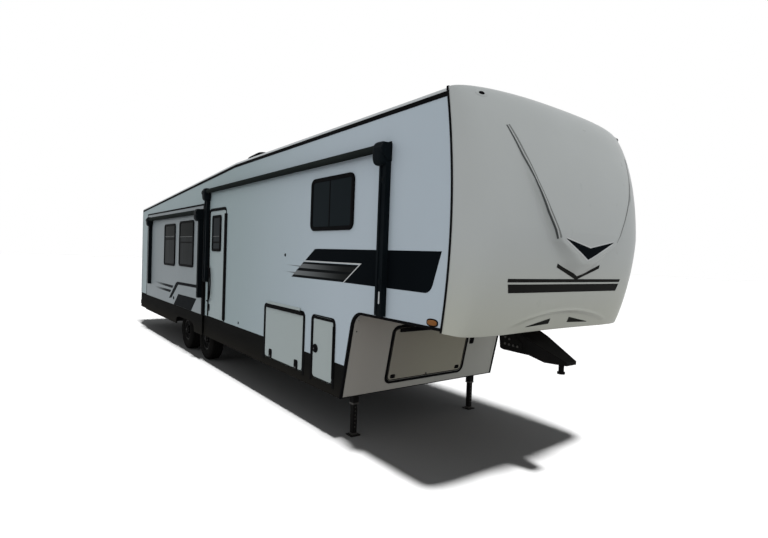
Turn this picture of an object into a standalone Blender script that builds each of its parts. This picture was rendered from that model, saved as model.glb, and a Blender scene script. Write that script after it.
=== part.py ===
# Fifth wheel trailer: hollow body, gooseneck nose, running gear, doors, hatches and slide-out rooms.
# Metres, +X to the nose, +Y to the road side, +Z up, the ground at zero.
# Modelled from the rear wall forward; one empty then moves the origin to the middle of the outline.

import math

import bmesh
import bpy
from mathutils import Matrix, Vector

# Gaps
seatGap = 0.0003
runGap = 0.006

# Body shell
halfWidth = 1.22
wallThick = 0.05
skirtBottom = 0.485
wallBottom = 0.856
deckBottom = 1.436
kneeX = 10.05
toeX = 9.845
kneeRadius = 0.17
kneeSteps = 5
roofThick = 0.075
roofCrown = 0.034
roofRear = 3.035
roofBend = 3.435
roofFront = 3.466
roofBendX = 6.57
roofEndX = 11.32
roofEdgeRadius = 0.035
skirtThick = 0.02

# Seam between the side walls and the nose cap
seamBottomX = 11.36
seamLean = -0.04
seamBow = 0.085

# Nose cap: depths ahead of the seam, powers of the rounding in plan and in profile
capThick = 0.03
capDepth = 0.471
capWaist = 2.317
capTopDepth = 0.163
capTopPower = 2.641
capBottomDepth = 0.294
capBottomPower = 1.246
capBottom = 1.415
capPlanTop = 3.03
capPlanBottom = 6.652
capTopSteps = 8
capFaceLevels = (2.22, 2.13, 2.04, 1.925, 1.80, 1.70)
shieldSteps = 3
capSideSteps = 8

# Raised shield on the nose cap: level, half width of its face, half width at the foot of its edge, height
shieldTable = [
    (capBottom, 0.36, 0.62, 0.0),
    (1.70, 0.30, 0.50, 0.0),
    (1.80, 0.15, 0.32, 0.0),
    (1.925, 0.05, 0.10, 0.0),
    (2.04, 0.06, 0.34, 0.07),
    (2.13, 0.22, 0.43, 0.075),
    (2.22, 0.42, 0.50, 0.07),
    (capWaist, 0.50, 0.56, 0.066),
    (2.69, 0.76, 0.81, 0.04),
    (3.13, 0.93, 0.97, 0.0),
    (3.60, 0.93, 0.97, 0.0),
]

# Lip that arches over the scoop at the foot of the nose cap
lipPeak = 1.607
lipEnd = 1.475
lipHalf = 0.80
lipDrop = 0.035
scoopDepth = 0.03

# Floors and frame
floorThick = 0.045
floorTop = 0.862
raisedFloorX = 7.70
deckThick = 0.06
trayThick = 0.03
railWidth = 0.08
railHalfGauge = 0.52
railBottom = 0.56
crossWidth = 0.06
frameRear = 0.10
middleCrossX = 4.595

# Running gear
tyreRadius = 0.39
tyreWidth = 0.235
rimRadius = 0.205
wheelCentreY = halfWidth - 0.20
axleSpacing = 1.19
frontAxleX = 5.03
axleRadius = 0.038
springHalf = 0.36
springWidth = 0.06
springThick = 0.025
clampSize = 0.10
tyreShoulder = 0.035
rimBarrel = 0.09
rimDish = 0.03
hubRadius = 0.085
hubReach = 0.10
wheelSteps = 32
archRear = 3.49

# Landing legs, pin box and bumper
legX = 9.685
legY = halfWidth - 0.27
legSize = 0.075
legInner = 0.055
footSize = 0.12
footThick = 0.012
legDrop = 0.12
kingPinX = 11.72
kingPinRadius = 0.025
kingPinCollar = 0.036
kingPinBottom = 1.01
pinBoxHalf = 0.17
pinHeadHalf = 0.078
pinHeadFront = 11.822
pinHeadBottom = 1.108
pinBoxPlate = 0.012
pinRearX = 11.10
pinTopX = 11.17
pinBendX = 11.165
pinKneeX = 11.47
pinHeadRear = kingPinX - 0.10
pinRearZ = 1.175
pinBendZ = 1.160
pinKneeZ = 1.155
pinTipZ = 1.140
pinFlare = 0.03
pinWideX = 11.45
bumperSize = 0.10
bumperReach = 0.14
bumperZ = 0.60
bumperInset = 0.03
armHalf = 0.03

# Entry door and its window
doorRear = 5.377
doorFront = 6.225
doorTop = 2.764
leafThick = 0.04
doorRadius = 0.09
doorWindow = {"x0": 5.57, "x1": 5.99, "z0": doorTop - 0.744, "z1": doorTop - 0.134}
doorWindowRadius = 0.04
handleEnds = {"x": 5.41, "z0": 1.13, "z1": 1.75}
handleBow = 0.165
handleStand = 0.03
handleRadius = 0.013
hingeReach = 0.016
hingeRadius = 0.007
hingePlate = 0.003
hingeFoot = 0.025
hingeEnd = 0.02
hingeStrip = 0.04
hingeRelief = 0.001
footInset = 0.005

# Windows in the fixed walls
bedWindow = {"x0": 9.10, "x1": 9.98, "z0": 2.319, "z1": 2.90}
rearWindow = {"x0": -0.55, "x1": 0.55, "z0": 1.75, "z1": 2.35}
windowRadius = 0.07
windowThick = 0.024
windowProud = 0.012

# Baggage hatches
hatchThick = 0.03
hatchRadius = 0.06
sideHatch = {"x0": 7.855, "x1": 8.973, "z0": 0.588, "z1": 1.33}
smallHatch = {"x0": 9.20, "x1": 9.67, "z0": 0.588, "z1": 1.323}
noseHatch = {"y0": -0.62, "y1": 0.60, "z0": 0.12, "z1": 0.77}

# Slide-out rooms
slideWall = 0.04
slideDepth = 0.88
slideLap = 0.065
slideFloorLift = 0.006
fasciaThick = 0.03
roomGap = 0.012
curbSlide = {"x0": 0.74, "x1": 5.20, "top": 2.87}
roadSlide = {"x0": 1.30, "x1": 5.90, "top": 2.87}
curbWindows = [
    {"x0": 2.46, "x1": 3.32, "z0": 1.67, "z1": 2.56},
    {"x0": 3.65, "x1": 4.60, "z0": 1.69, "z1": 2.59},
]
roadWindows = [{"x0": 2.60, "x1": 4.30, "z0": 1.67, "z1": 2.56}]

# Awnings: arms as (rear, front) along X, the roller's place ahead of the surface that carries it
mainAwning = {"arms": ((5.29, 5.38), (10.515, 10.595)), "foot": 1.465,
              "z": 3.066, "reach": 0.065, "radius": 0.036}
slideAwning = {"arms": ((1.14, 1.22), (5.04, 5.12)), "foot": 1.16,
               "z": 2.715, "reach": 0.072, "radius": 0.040}
headRadius = 0.066
headDrop = 0.035
headLength = 0.10

# Roof units: place, then size along, across and up
roofUnits = [
    ("air_conditioner", 3.6, 0.0, (0.95, 0.70, 0.28)),
    ("vent_cover", 6.32, 0.60 - halfWidth, (0.60, 0.45, 0.22)),
]
roofUnitRound = 0.06

slopeAngle = math.atan2(kneeX - toeX, deckBottom - skirtBottom)
slopeLength = math.hypot(kneeX - toeX, deckBottom - skirtBottom)
innerHalf = halfWidth - wallThick
rearAxleX = frontAxleX - axleSpacing


def clearScene():
    for item in list(bpy.data.objects):
        bpy.data.objects.remove(item, do_unlink=True)


def makeCollection(name):
    group = bpy.data.collections.new(name)
    bpy.context.scene.collection.children.link(group)
    return group


clearScene()
parts = makeCollection("Fifth wheel trailer")
cutters = makeCollection("Cutters")


def makeMaterial(name, colour, rough, metal=0.0):
    material = bpy.data.materials.new(name)
    material.use_nodes = True
    shader = material.node_tree.nodes["Principled BSDF"]
    shader.inputs["Base Color"].default_value = (*colour, 1.0)
    shader.inputs["Roughness"].default_value = rough
    shader.inputs["Metallic"].default_value = metal
    return material


wallGrey = makeMaterial("wall_grey", (0.42, 0.44, 0.46), 0.35)
gelcoat = makeMaterial("gelcoat", (0.62, 0.62, 0.60), 0.25)
skirtBlack = makeMaterial("skirt_black", (0.025, 0.026, 0.028), 0.45)
trimBlack = makeMaterial("trim_black", (0.01, 0.01, 0.011), 0.4)
darkGlass = makeMaterial("dark_glass", (0.01, 0.012, 0.014), 0.05)
steelBlack = makeMaterial("steel_black", (0.015, 0.015, 0.016), 0.5, 0.4)
rubber = makeMaterial("rubber", (0.018, 0.018, 0.018), 0.8)
alloy = makeMaterial("alloy", (0.55, 0.56, 0.58), 0.3, 0.9)
roofWhite = makeMaterial("roof_white", (0.7, 0.7, 0.69), 0.6)
plywood = makeMaterial("plywood", (0.35, 0.25, 0.16), 0.7)

origin = bpy.data.objects.new("origin", None)
parts.objects.link(origin)


def addMesh(name, mesh, material, parent=origin, group=parts):
    item = bpy.data.objects.new(name, mesh)
    group.objects.link(item)
    item.parent = parent
    if material:
        mesh.materials.clear()
        mesh.materials.append(material)
    return item


def makeCutter(item):
    for group in list(item.users_collection):
        group.objects.unlink(item)
    cutters.objects.link(item)
    item.hide_render = True
    item.display_type = "WIRE"
    return item


def box(name, low, high, material, parent=origin):
    mesh = bpy.data.meshes.new(name)
    form = bmesh.new()
    bmesh.ops.create_cube(form, size=1.0)
    size = Vector(high) - Vector(low)
    middle = (Vector(high) + Vector(low)) / 2
    placed = Matrix.Translation(middle) @ Matrix.Diagonal((*size, 1.0))
    bmesh.ops.transform(form, matrix=placed, verts=form.verts)
    form.to_mesh(mesh)
    form.free()
    return addMesh(name, mesh, material, parent)


def meshOfCurve(item, material, parent):
    # The evaluated curve becomes a mesh whose caps are welded to its sides.
    bpy.context.view_layer.update()
    graph = bpy.context.evaluated_depsgraph_get()
    mesh = bpy.data.meshes.new_from_object(item.evaluated_get(graph))
    form = bmesh.new()
    form.from_mesh(mesh)
    bmesh.ops.transform(form, matrix=item.matrix_world, verts=form.verts)
    bmesh.ops.remove_doubles(form, verts=form.verts, dist=0.00005)
    form.to_mesh(mesh)
    form.free()
    name = item.name
    bpy.data.objects.remove(item, do_unlink=True)
    return addMesh(name, mesh, material, parent)


planeTurn = {
    "XZ": (math.radians(90), 0, 0),
    "YZ": (math.radians(90), 0, math.radians(90)),
    "XY": (0, 0, 0),
}
planeNormal = {"XZ": Vector((0, 1, 0)), "YZ": Vector((1, 0, 0)), "XY": Vector((0, 0, 1))}


def plate(name, plane, loops, low, high, material, parent=origin):
    # A flat outline with holes, filled between two levels along the plane's normal.
    curve = bpy.data.curves.new(name, "CURVE")
    curve.dimensions = "2D"
    curve.fill_mode = "BOTH"
    curve.extrude = (high - low) / 2
    for loop in loops:
        spline = curve.splines.new("POLY")
        spline.points.add(len(loop) - 1)
        for point, (first, second) in zip(spline.points, loop):
            point.co = (first, second, 0, 1)
        spline.use_cyclic_u = True
    item = bpy.data.objects.new(name, curve)
    parts.objects.link(item)
    item.rotation_euler = planeTurn[plane]
    item.location = planeNormal[plane] * ((low + high) / 2)
    return meshOfCurve(item, material, parent)


def tube(name, points, radius, material, parent=origin, sides=2, closed=False):
    curve = bpy.data.curves.new(name, "CURVE")
    curve.dimensions = "3D"
    curve.bevel_depth = radius
    curve.bevel_resolution = sides
    curve.use_fill_caps = True
    spline = curve.splines.new("POLY")
    spline.points.add(len(points) - 1)
    for point, place in zip(spline.points, points):
        point.co = (*place, 1)
    spline.use_cyclic_u = closed
    item = bpy.data.objects.new(name, curve)
    parts.objects.link(item)
    return meshOfCurve(item, material, parent)


def turned(name, profile, place, axis, material, steps=32, parent=origin):
    # profile is (radius, height) from top to bottom, turned about the axis through place.
    mesh = bpy.data.meshes.new(name)
    form = bmesh.new()
    line = [form.verts.new((radius, 0, height)) for radius, height in profile]
    for first, second in zip(line, line[1:]):
        if first.co.x > 0 or second.co.x > 0:
            form.edges.new((first, second))
    form.to_mesh(mesh)
    form.free()
    item = addMesh(name, mesh, material, parent)
    item.location = place
    item.rotation_euler = {"Z": (0, 0, 0), "Y": (math.radians(90), 0, 0), "X": (0, math.radians(90), 0)}[axis]
    screw = item.modifiers.new("turn", "SCREW")
    screw.steps = steps
    screw.render_steps = steps
    screw.use_merge_vertices = True
    screw.merge_threshold = 0.00005
    screw.use_normal_calculate = False
    return item


def cylinder(name, start, end, radius, material, sides=24, parent=origin):
    mesh = bpy.data.meshes.new(name)
    form = bmesh.new()
    start = Vector(start)
    end = Vector(end)
    length = (end - start).length
    bmesh.ops.create_cone(form, cap_ends=True, segments=sides, radius1=radius, radius2=radius, depth=length)
    turn = Vector((0, 0, 1)).rotation_difference(end - start).to_matrix().to_4x4()
    bmesh.ops.transform(form, matrix=Matrix.Translation((start + end) / 2) @ turn, verts=form.verts)
    form.to_mesh(mesh)
    form.free()
    return addMesh(name, mesh, material, parent)


def boolean(item, other, operation):
    makeCutter(other)
    change = item.modifiers.new(operation.lower(), "BOOLEAN")
    change.operation = operation
    change.solver = "EXACT"
    change.object = other
    return item


def cut(item, others):
    for other in others:
        boolean(item, other, "DIFFERENCE")
    return item


def fuse(item, others):
    for other in others:
        boolean(item, other, "UNION")
    return item


def softBox(x0, x1, z0, z1, radius, steps=4):
    # A rectangle whose corners are quarter circles.
    loop = []
    corners = [(x1 - radius, z1 - radius, 0), (x0 + radius, z1 - radius, 90),
               (x0 + radius, z0 + radius, 180), (x1 - radius, z0 + radius, 270)]
    for centreX, centreZ, start in corners:
        for step in range(steps + 1):
            angle = math.radians(start + 90 * step / steps)
            loop.append((centreX + radius * math.cos(angle), centreZ + radius * math.sin(angle)))
    return loop


def rectangle(x0, x1, z0, z1):
    return [(x0, z0), (x1, z0), (x1, z1), (x0, z1)]


def archBox(x0, x1, z0, z1, radius, steps=4):
    # A rectangle with square lower corners and round upper ones.
    loop = [(x0, z0), (x1, z0)]
    for centreX, start in ((x1 - radius, 0), (x0 + radius, 90)):
        for step in range(steps + 1):
            angle = math.radians(start + 90 * step / steps)
            loop.append((centreX + radius * math.cos(angle), z1 - radius + radius * math.sin(angle)))
    return loop


def grown(area, amount):
    return {"x0": area["x0"] - amount, "x1": area["x1"] + amount,
            "z0": area["z0"] - amount, "z1": area["z1"] + amount}


def loopOf(area, radius):
    return softBox(area["x0"], area["x1"], area["z0"], area["z1"], radius)


def seamX(z):
    # The seam leans back and bows forward between its bottom and the roof.
    share = (z - deckBottom) / (roofFront - deckBottom)
    return seamBottomX + seamLean * share + seamBow * 4 * share * (1 - share)


def roofEdge(x):
    if x < roofBendX:
        return roofRear + (roofBend - roofRear) * x / roofBendX
    return roofBend + (roofFront - roofBend) * (x - roofBendX) / (roofEndX - roofBendX)


def sideSpan(side, depth, proud=0.0):
    # The two levels along Y of a layer that starts proud of the side wall and is depth thick.
    outer = halfWidth + proud
    levels = sorted((side * outer, side * (outer - depth)))
    return levels


def between(table, level):
    # The table's other columns at a level, straight from one row to the next.
    for low, high in zip(table, table[1:]):
        if level <= high[0]:
            share = max(0.0, (level - low[0]) / (high[0] - low[0]))
            return [a + (b - a) * share for a, b in zip(low[1:], high[1:])]
    return list(table[-1][1:])


def rounding(share, power):
    # A quarter of a superellipse: 1 at the middle, falling to 0 at share 1.
    return (1 - min(share, 1.0) ** power) ** (1 / power)


def capReach(z, roofLine):
    # How far the middle of the cap stands ahead of the seam at a level.
    if z >= capWaist:
        bulge = rounding((z - capWaist) / (roofLine - capWaist), capTopPower)
        return capTopDepth + (capDepth - capTopDepth) * bulge
    bulge = rounding((capWaist - z) / (capWaist - capBottom), capBottomPower)
    return capBottomDepth + (capDepth - capBottomDepth) * bulge


def capRowTable():
    # Rows from the roof seam over the nose to the underside: kind, level at the side, share of the reach.
    rows = [("roof", roofFront, 0.0), ("roof", roofFront, 0.5)]
    for step in range(capTopSteps + 1):
        angle = math.radians(90 * (1 - step / capTopSteps))
        rows.append(("top", capWaist + (roofFront - capWaist) * math.sin(angle) ** (2 / capTopPower), 1.0))
    rows += [("face", level, 1.0) for level in capFaceLevels]
    rows += [("lip", lipEnd, 1.0), ("scoop", lipEnd - lipDrop, 1.0)]
    rows += [("foot", capBottom, 1.0), ("foot", capBottom, 0.5), ("foot", capBottom, 0.0)]
    return rows


def seamLine(z):
    # The seam as the cap's rows draw it: straight from one row's level to the next.
    levels = sorted({level for kind, level, share in capRowTable()})
    for low, high in zip(levels, levels[1:]):
        if low <= z <= high:
            return seamX(low) + (seamX(high) - seamX(low)) * (z - low) / (high - low)
    return seamX(z)


def kneeArc():
    # The side wall's round corner between the slope and the deck.
    turn = math.pi / 2 - slopeAngle
    reach = kneeRadius * math.tan(turn / 2)
    centreX = kneeX + reach
    centreZ = deckBottom - kneeRadius
    arc = []
    for step in range(kneeSteps + 1):
        angle = math.pi - slopeAngle - turn * step / kneeSteps
        arc.append((centreX + kneeRadius * math.cos(angle), centreZ + kneeRadius * math.sin(angle)))
    return arc


def wallLoop():
    # Side wall outline: rear, sloped toe, knee, deck, bowed seam and the bent roof line.
    slopeShare = (wallBottom - skirtBottom) / (deckBottom - skirtBottom)
    loop = [(wallThick + seatGap, wallBottom), (toeX + (kneeX - toeX) * slopeShare, wallBottom)]
    loop += kneeArc()
    topFront = roofEdge(roofEndX) - roofThick
    levels = sorted({level for kind, level, share in capRowTable() if deckBottom < level < topFront})
    for z in [deckBottom] + levels + [topFront]:
        loop.append((seamLine(z) - seatGap, z))
    loop.append((roofBendX, roofEdge(roofBendX) - roofThick))
    loop.append((wallThick + seatGap, roofEdge(wallThick) - roofThick))
    return loop


def sideCutter(name, loop, side):
    low, high = sideSpan(side, wallThick + 0.1, 0.05)
    return plate(name, "XZ", [loop], low, high, None)


def slideHole(slide, side):
    return sideCutter("slide_hole", rectangle(slide["x0"] + slideLap, slide["x1"] - slideLap,
                                              wallBottom - 0.1, slide["top"] - slideLap), side)


def buildWalls():
    low, high = sideSpan(-1, wallThick)
    curbWall = plate("curb_wall", "XZ", [wallLoop()], low, high, wallGrey)
    cut(curbWall, [
        slideHole(curbSlide, -1),
        sideCutter("door_hole", archBox(doorRear, doorFront, wallBottom - 0.1, doorTop, doorRadius), -1),
        sideCutter("bed_window_hole", loopOf(bedWindow, windowRadius), -1),
        sideCutter("side_hatch_hole", loopOf(sideHatch, hatchRadius), -1),
        sideCutter("small_hatch_hole", loopOf(smallHatch, hatchRadius), -1),
    ])
    low, high = sideSpan(1, wallThick)
    roadWall = plate("road_wall", "XZ", [wallLoop()], low, high, wallGrey)
    cut(roadWall, [
        slideHole(roadSlide, 1),
        sideCutter("road_bed_window_hole", loopOf(bedWindow, windowRadius), 1),
        sideCutter("road_hatch_hole", loopOf(sideHatch, hatchRadius), 1),
    ])
    rearTop = roofEdge(0) - roofThick
    plate("rear_wall", "YZ", [rectangle(-halfWidth, halfWidth, wallBottom, rearTop),
                              loopOf(rearWindow, windowRadius)], 0, wallThick, wallGrey)
    plate("rear_window", "YZ", [loopOf(grown(rearWindow, -seatGap), windowRadius)],
          -windowProud, windowThick - windowProud, darkGlass)


def buildRoof():
    # Sections across the roof, lofted from the rear wall past the bend to the seam.
    stations = [0.0, roofBendX, roofEndX - seatGap]
    crownSteps = 10
    edgeSteps = 3
    form = bmesh.new()
    rings = []
    for x in stations:
        edge = roofEdge(x)
        bottom = edge - roofThick + seatGap
        ring = [(-halfWidth, bottom)]
        for step in range(1, edgeSteps):
            angle = math.radians(180 - 90 * step / edgeSteps)
            ring.append((-halfWidth + roofEdgeRadius * (1 + math.cos(angle)),
                         edge - roofEdgeRadius + roofEdgeRadius * math.sin(angle)))
        flat = halfWidth - roofEdgeRadius
        for step in range(crownSteps + 1):
            y = -flat + 2 * flat * step / crownSteps
            ring.append((y, edge + roofCrown * (1 - (y / flat) ** 2)))
        for step in range(1, edgeSteps):
            angle = math.radians(90 - 90 * step / edgeSteps)
            ring.append((halfWidth - roofEdgeRadius * (1 - math.cos(angle)),
                         edge - roofEdgeRadius + roofEdgeRadius * math.sin(angle)))
        ring.append((halfWidth, bottom))
        rings.append([form.verts.new((x, y, z)) for y, z in ring])
    count = len(rings[0])
    for first, second in zip(rings, rings[1:]):
        for index in range(count):
            following = (index + 1) % count
            form.faces.new((first[index], first[following], second[following], second[index]))
    form.faces.new(rings[0])
    form.faces.new(rings[-1])
    bmesh.ops.recalc_face_normals(form, faces=form.faces)
    mesh = bpy.data.meshes.new("roof")
    form.to_mesh(mesh)
    form.free()
    return addMesh("roof", mesh, roofWhite)


def capColumns(level):
    # Half widths across the cap: the shield's face, the foot of its edge, then round to the side.
    face, foot, height = between(shieldTable, level)
    power = capPlanPower(level)
    columns = [face * step / shieldSteps for step in range(shieldSteps + 1)] + [foot]
    start = math.asin((foot / halfWidth) ** (power / 2))
    for step in range(1, capSideSteps + 1):
        angle = start + (math.pi / 2 - start) * step / capSideSteps
        columns.append(halfWidth * math.sin(angle) ** (2 / power))
    heights = [height] * (shieldSteps + 1) + [0.0] * (capSideSteps + 1)
    half = list(zip(columns, heights))
    return [(-y, rise) for y, rise in reversed(half[1:])] + half


def capPlanPower(level):
    share = (level - capBottom) / (roofFront - capBottom)
    return capPlanBottom + (capPlanTop - capPlanBottom) * share


def lipShare(y):
    return max(0.0, 1 - (y / lipHalf) ** 2)


def capRows(form, inset):
    # A grid of vertices over the cap, inset from the outer skin.
    rows = []
    for kind, level, share in capRowTable():
        row = []
        for y, rise in capColumns(level):
            roofLine = roofFront + roofCrown * (1 - (y / halfWidth) ** 2)
            z = level
            if kind in ("roof", "top"):
                z = capWaist + (roofLine - capWaist) * (level - capWaist) / (roofFront - capWaist)
            if kind in ("lip", "scoop"):
                z = level + (lipPeak - lipEnd) * lipShare(y)
            reach = capReach(z, roofLine) * share - inset
            plan = rounding(abs(y) / halfWidth, capPlanPower(level))
            scoop = scoopDepth * lipShare(y) if kind in ("scoop", "foot") else 0.0
            z = min(max(z, capBottom + inset), roofLine - inset)
            side = min(max(level, capBottom + inset), roofFront - inset)
            x = seamLine(side) + max((reach + rise - scoop * share) * plan, 0.0)
            row.append(form.verts.new((x, y * (halfWidth - inset) / halfWidth, z)))
        rows.append(row)
    return rows


def joinRows(form, first, second):
    for index in range(len(first) - 1):
        form.faces.new((first[index], first[index + 1], second[index + 1], second[index]))


def buildCap():
    # The skin outside, the same skin inset by its thickness inside, and a rim along the seam.
    form = bmesh.new()
    outer = capRows(form, 0)
    inner = capRows(form, capThick)
    for rows in (outer, inner):
        for first, second in zip(rows, rows[1:]):
            joinRows(form, first, second)
    joinRows(form, outer[0], inner[0])
    joinRows(form, outer[-1], inner[-1])
    for column in (0, -1):
        joinRows(form, [row[column] for row in outer], [row[column] for row in inner])
    bmesh.ops.remove_doubles(form, verts=form.verts, dist=0.00005)
    bmesh.ops.recalc_face_normals(form, faces=form.faces)
    mesh = bpy.data.meshes.new("nose_cap")
    form.to_mesh(mesh)
    form.free()
    return addMesh("nose_cap", mesh, gelcoat)


def hingeBarrel(name, start, end, footFrom, footTo):
    # A fixed barrel on the hinge axis with the foot that carries it.
    barrel = cylinder(name, start, end, hingeRadius, trimBlack, 12)
    foot = box(name + "_foot", footFrom, footTo, None)
    return fuse(barrel, [foot])


def stripOutline(edge, barrel, face, axis, outward):
    # The leaf's hinge plate in section: it stands on the leaf up to its edge and reaches to the barrel.
    root = face - outward * hingePlate
    low = axis - outward * hingePlate
    high = axis + outward * hingePlate
    back = edge - hingeStrip
    corner = edge - hingeRelief
    return [(back, root), (corner, root), (corner, low), (barrel, low), (barrel, high), (back, high)]


def windowPane(name, area, side, proud, material=darkGlass, radius=windowRadius):
    low, high = sideSpan(side, windowThick, proud)
    return plate(name, "XZ", [loopOf(grown(area, -seatGap), radius)], low, high, material)


def leafSpan(side, thick):
    # A leaf lies flush with the wall, a hair inside its outer face.
    return sideSpan(side, thick, -seatGap)


def buildEntryDoor():
    # The leaf opens outward about a barrel outside its front edge.
    axisY = -(halfWidth + hingeReach)
    axisX = doorFront + hingeRadius + runGap
    low, high = leafSpan(-1, leafThick)
    inner = (doorRear + runGap, doorFront - runGap, wallBottom + runGap, doorTop - runGap)
    outline = archBox(*inner, doorRadius - runGap)
    leaf = plate("entry_door", "XZ", [outline, loopOf(doorWindow, doorWindowRadius)], low, high, wallGrey)
    bottom = inner[2] + hingeEnd
    top = inner[3] - doorRadius - hingeEnd
    section = stripOutline(inner[1], axisX - hingeRadius - seatGap, low, axisY, -1)
    fuse(leaf, [plate("door_strip", "XY", [section], bottom, top, None)])
    windowPane("entry_door_window", doorWindow, -1, windowProud, radius=doorWindowRadius)
    hingeBarrel("entry_door_hinge", (axisX, axisY, bottom), (axisX, axisY, top),
                (axisX, axisY + hingePlate, bottom + footInset),
                (axisX + hingeFoot, -halfWidth - seatGap, top - footInset))
    buildHandle()


def buildHandle():
    # A folding grab handle, folded flat over the leaf: two feet and a bow between them.
    x, low, high = handleEnds["x"], handleEnds["z0"], handleEnds["z1"]
    face = -halfWidth
    proud = face - handleStand
    points = [(x, face, high), (x, proud, high)]
    for step in range(1, 6):
        angle = math.pi * step / 6
        reach = handleBow * math.sin(angle) ** 0.5
        points.append((x + reach, proud, (low + high) / 2 + (high - low) / 2 * math.cos(angle)))
    points += [(x, proud, low), (x, face, low)]
    tube("entry_door_handle", points, handleRadius, trimBlack)


def buildTopHatch(name, area, side):
    # A hatch hinged along its top edge, on a barrel outside the wall.
    axisY = side * (halfWidth + hingeReach)
    axisZ = area["z1"] + hingeRadius + runGap
    low, high = leafSpan(side, hatchThick)
    leaf = plate(name, "XZ", [loopOf(grown(area, -runGap), hatchRadius - runGap)], low, high, wallGrey)
    outer = low if side < 0 else high
    ends = (area["x0"] + hatchRadius + hingeEnd, area["x1"] - hatchRadius - hingeEnd)
    section = stripOutline(area["z1"] - runGap, axisZ - hingeRadius - seatGap, outer, axisY, side)
    fuse(leaf, [plate(name + "_strip", "YZ", [[(n, a) for a, n in section]], ends[0], ends[1], None)])
    foot = sorted((axisY - side * hingePlate, side * (halfWidth + seatGap)))
    hingeBarrel(name + "_hinge", (ends[0], axisY, axisZ), (ends[1], axisY, axisZ),
                (ends[0] + footInset, foot[0], axisZ), (ends[1] - footInset, foot[1], axisZ + hingeFoot))


def buildSideHatch(name, area, side):
    # A narrow hatch hinged along its front edge.
    axisY = side * (halfWidth + hingeReach)
    axisX = area["x1"] + hingeRadius + runGap
    low, high = leafSpan(side, hatchThick)
    leaf = plate(name, "XZ", [loopOf(grown(area, -runGap), hatchRadius - runGap)], low, high, wallGrey)
    ends = (area["z0"] + hatchRadius + hingeEnd, area["z1"] - hatchRadius - hingeEnd)
    section = stripOutline(area["x1"] - runGap, axisX - hingeRadius - seatGap, low, axisY, side)
    fuse(leaf, [plate(name + "_strip", "XY", [section], ends[0], ends[1], None)])
    hingeBarrel(name + "_hinge", (axisX, axisY, ends[0]), (axisX, axisY, ends[1]),
                (axisX, axisY + hingePlate, ends[0] + footInset),
                (axisX + hingeFoot, -halfWidth - seatGap, ends[1] - footInset))


def slopeEmpty():
    # Everything on the sloped wall is placed in its own frame, +Z up the slope and +X outward.
    empty = bpy.data.objects.new("slope", None)
    parts.objects.link(empty)
    empty.parent = origin
    empty.location = (toeX, 0, skirtBottom)
    empty.rotation_euler = (0, slopeAngle, 0)
    return empty


def buildNoseWall():
    slope = slopeEmpty()
    hatch = {"x0": noseHatch["y0"], "x1": noseHatch["y1"], "z0": noseHatch["z0"], "z1": noseHatch["z1"]}
    edge = innerHalf - seatGap
    top = slopeLength - wallThick * math.tan(slopeAngle) - seatGap
    plate("nose_wall", "YZ", [rectangle(-edge, edge, 0, top), loopOf(hatch, hatchRadius)],
          -wallThick, 0, wallGrey, slope)
    leaf = plate("nose_hatch", "YZ", [loopOf(grown(hatch, -runGap), hatchRadius - runGap)],
                 -hatchThick - seatGap, -seatGap, wallGrey, slope)
    axisX = hingeReach
    axisZ = hatch["z1"] + hingeRadius + runGap
    ends = (hatch["x0"] + hatchRadius + hingeEnd, hatch["x1"] - hatchRadius - hingeEnd)
    section = stripOutline(hatch["z1"] - runGap, axisZ - hingeRadius - seatGap, -seatGap, axisX, 1)
    strip = plate("nose_hatch_strip", "XZ", [[(n, a) for a, n in section]], ends[0], ends[1], None, slope)
    fuse(leaf, [strip])
    barrel = cylinder("nose_hatch_hinge", (axisX, ends[0], axisZ), (axisX, ends[1], axisZ), hingeRadius,
                      trimBlack, 12, slope)
    foot = box("nose_hatch_foot", (seatGap, ends[0] + footInset, axisZ),
               (axisX - hingePlate, ends[1] - footInset, axisZ + hingeFoot), None, slope)
    fuse(barrel, [foot])


def buildFloors():
    edge = innerHalf - seatGap
    mainFloor = box("main_floor", (wallThick + seatGap, -edge, floorTop - floorThick),
                    (raisedFloorX, edge, floorTop), plywood)
    pads = []
    for slide, side in ((curbSlide, -1), (roadSlide, 1)):
        for share in (0.15, 0.85):
            x = slide["x0"] + (slide["x1"] - slide["x0"]) * share
            levels = sorted((side * (edge - 0.01), side * (edge - slideDepth + 0.1)))
            pads.append(box("slide_pad", (x - 0.03, levels[0], floorTop - 0.01),
                            (x + 0.03, levels[1], floorTop + slideFloorLift), None))
    fuse(mainFloor, pads)
    box("raised_floor", (raisedFloorX - 0.02, -edge, deckBottom),
        (seamBottomX - 0.002, edge, deckBottom + deckThick), plywood)
    riserX = raisedFloorX + seatGap
    trayTop = skirtBottom + trayThick
    toeInner = toeX - wallThick / math.cos(slopeAngle) - 0.004
    trayLean = trayThick * math.tan(slopeAngle)
    tray = [(riserX, skirtBottom), (toeInner, skirtBottom), (toeInner + trayLean, trayTop),
            (riserX + trayThick, trayTop), (riserX + trayThick, deckBottom - seatGap),
            (riserX, deckBottom - seatGap)]
    storage = plate("storage_tray", "XZ", [tray], -edge + 0.03, edge - 0.03, steelBlack)
    holes = []
    reach = legSize / 2 + seatGap
    for side in (-1, 1):
        y = side * legY
        holes.append(box("leg_hole", (legX - seatGap, y - reach, skirtBottom - 0.05),
                         (legX + legSize + seatGap, y + reach, trayTop + 0.05), None))
    cut(storage, holes)


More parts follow.
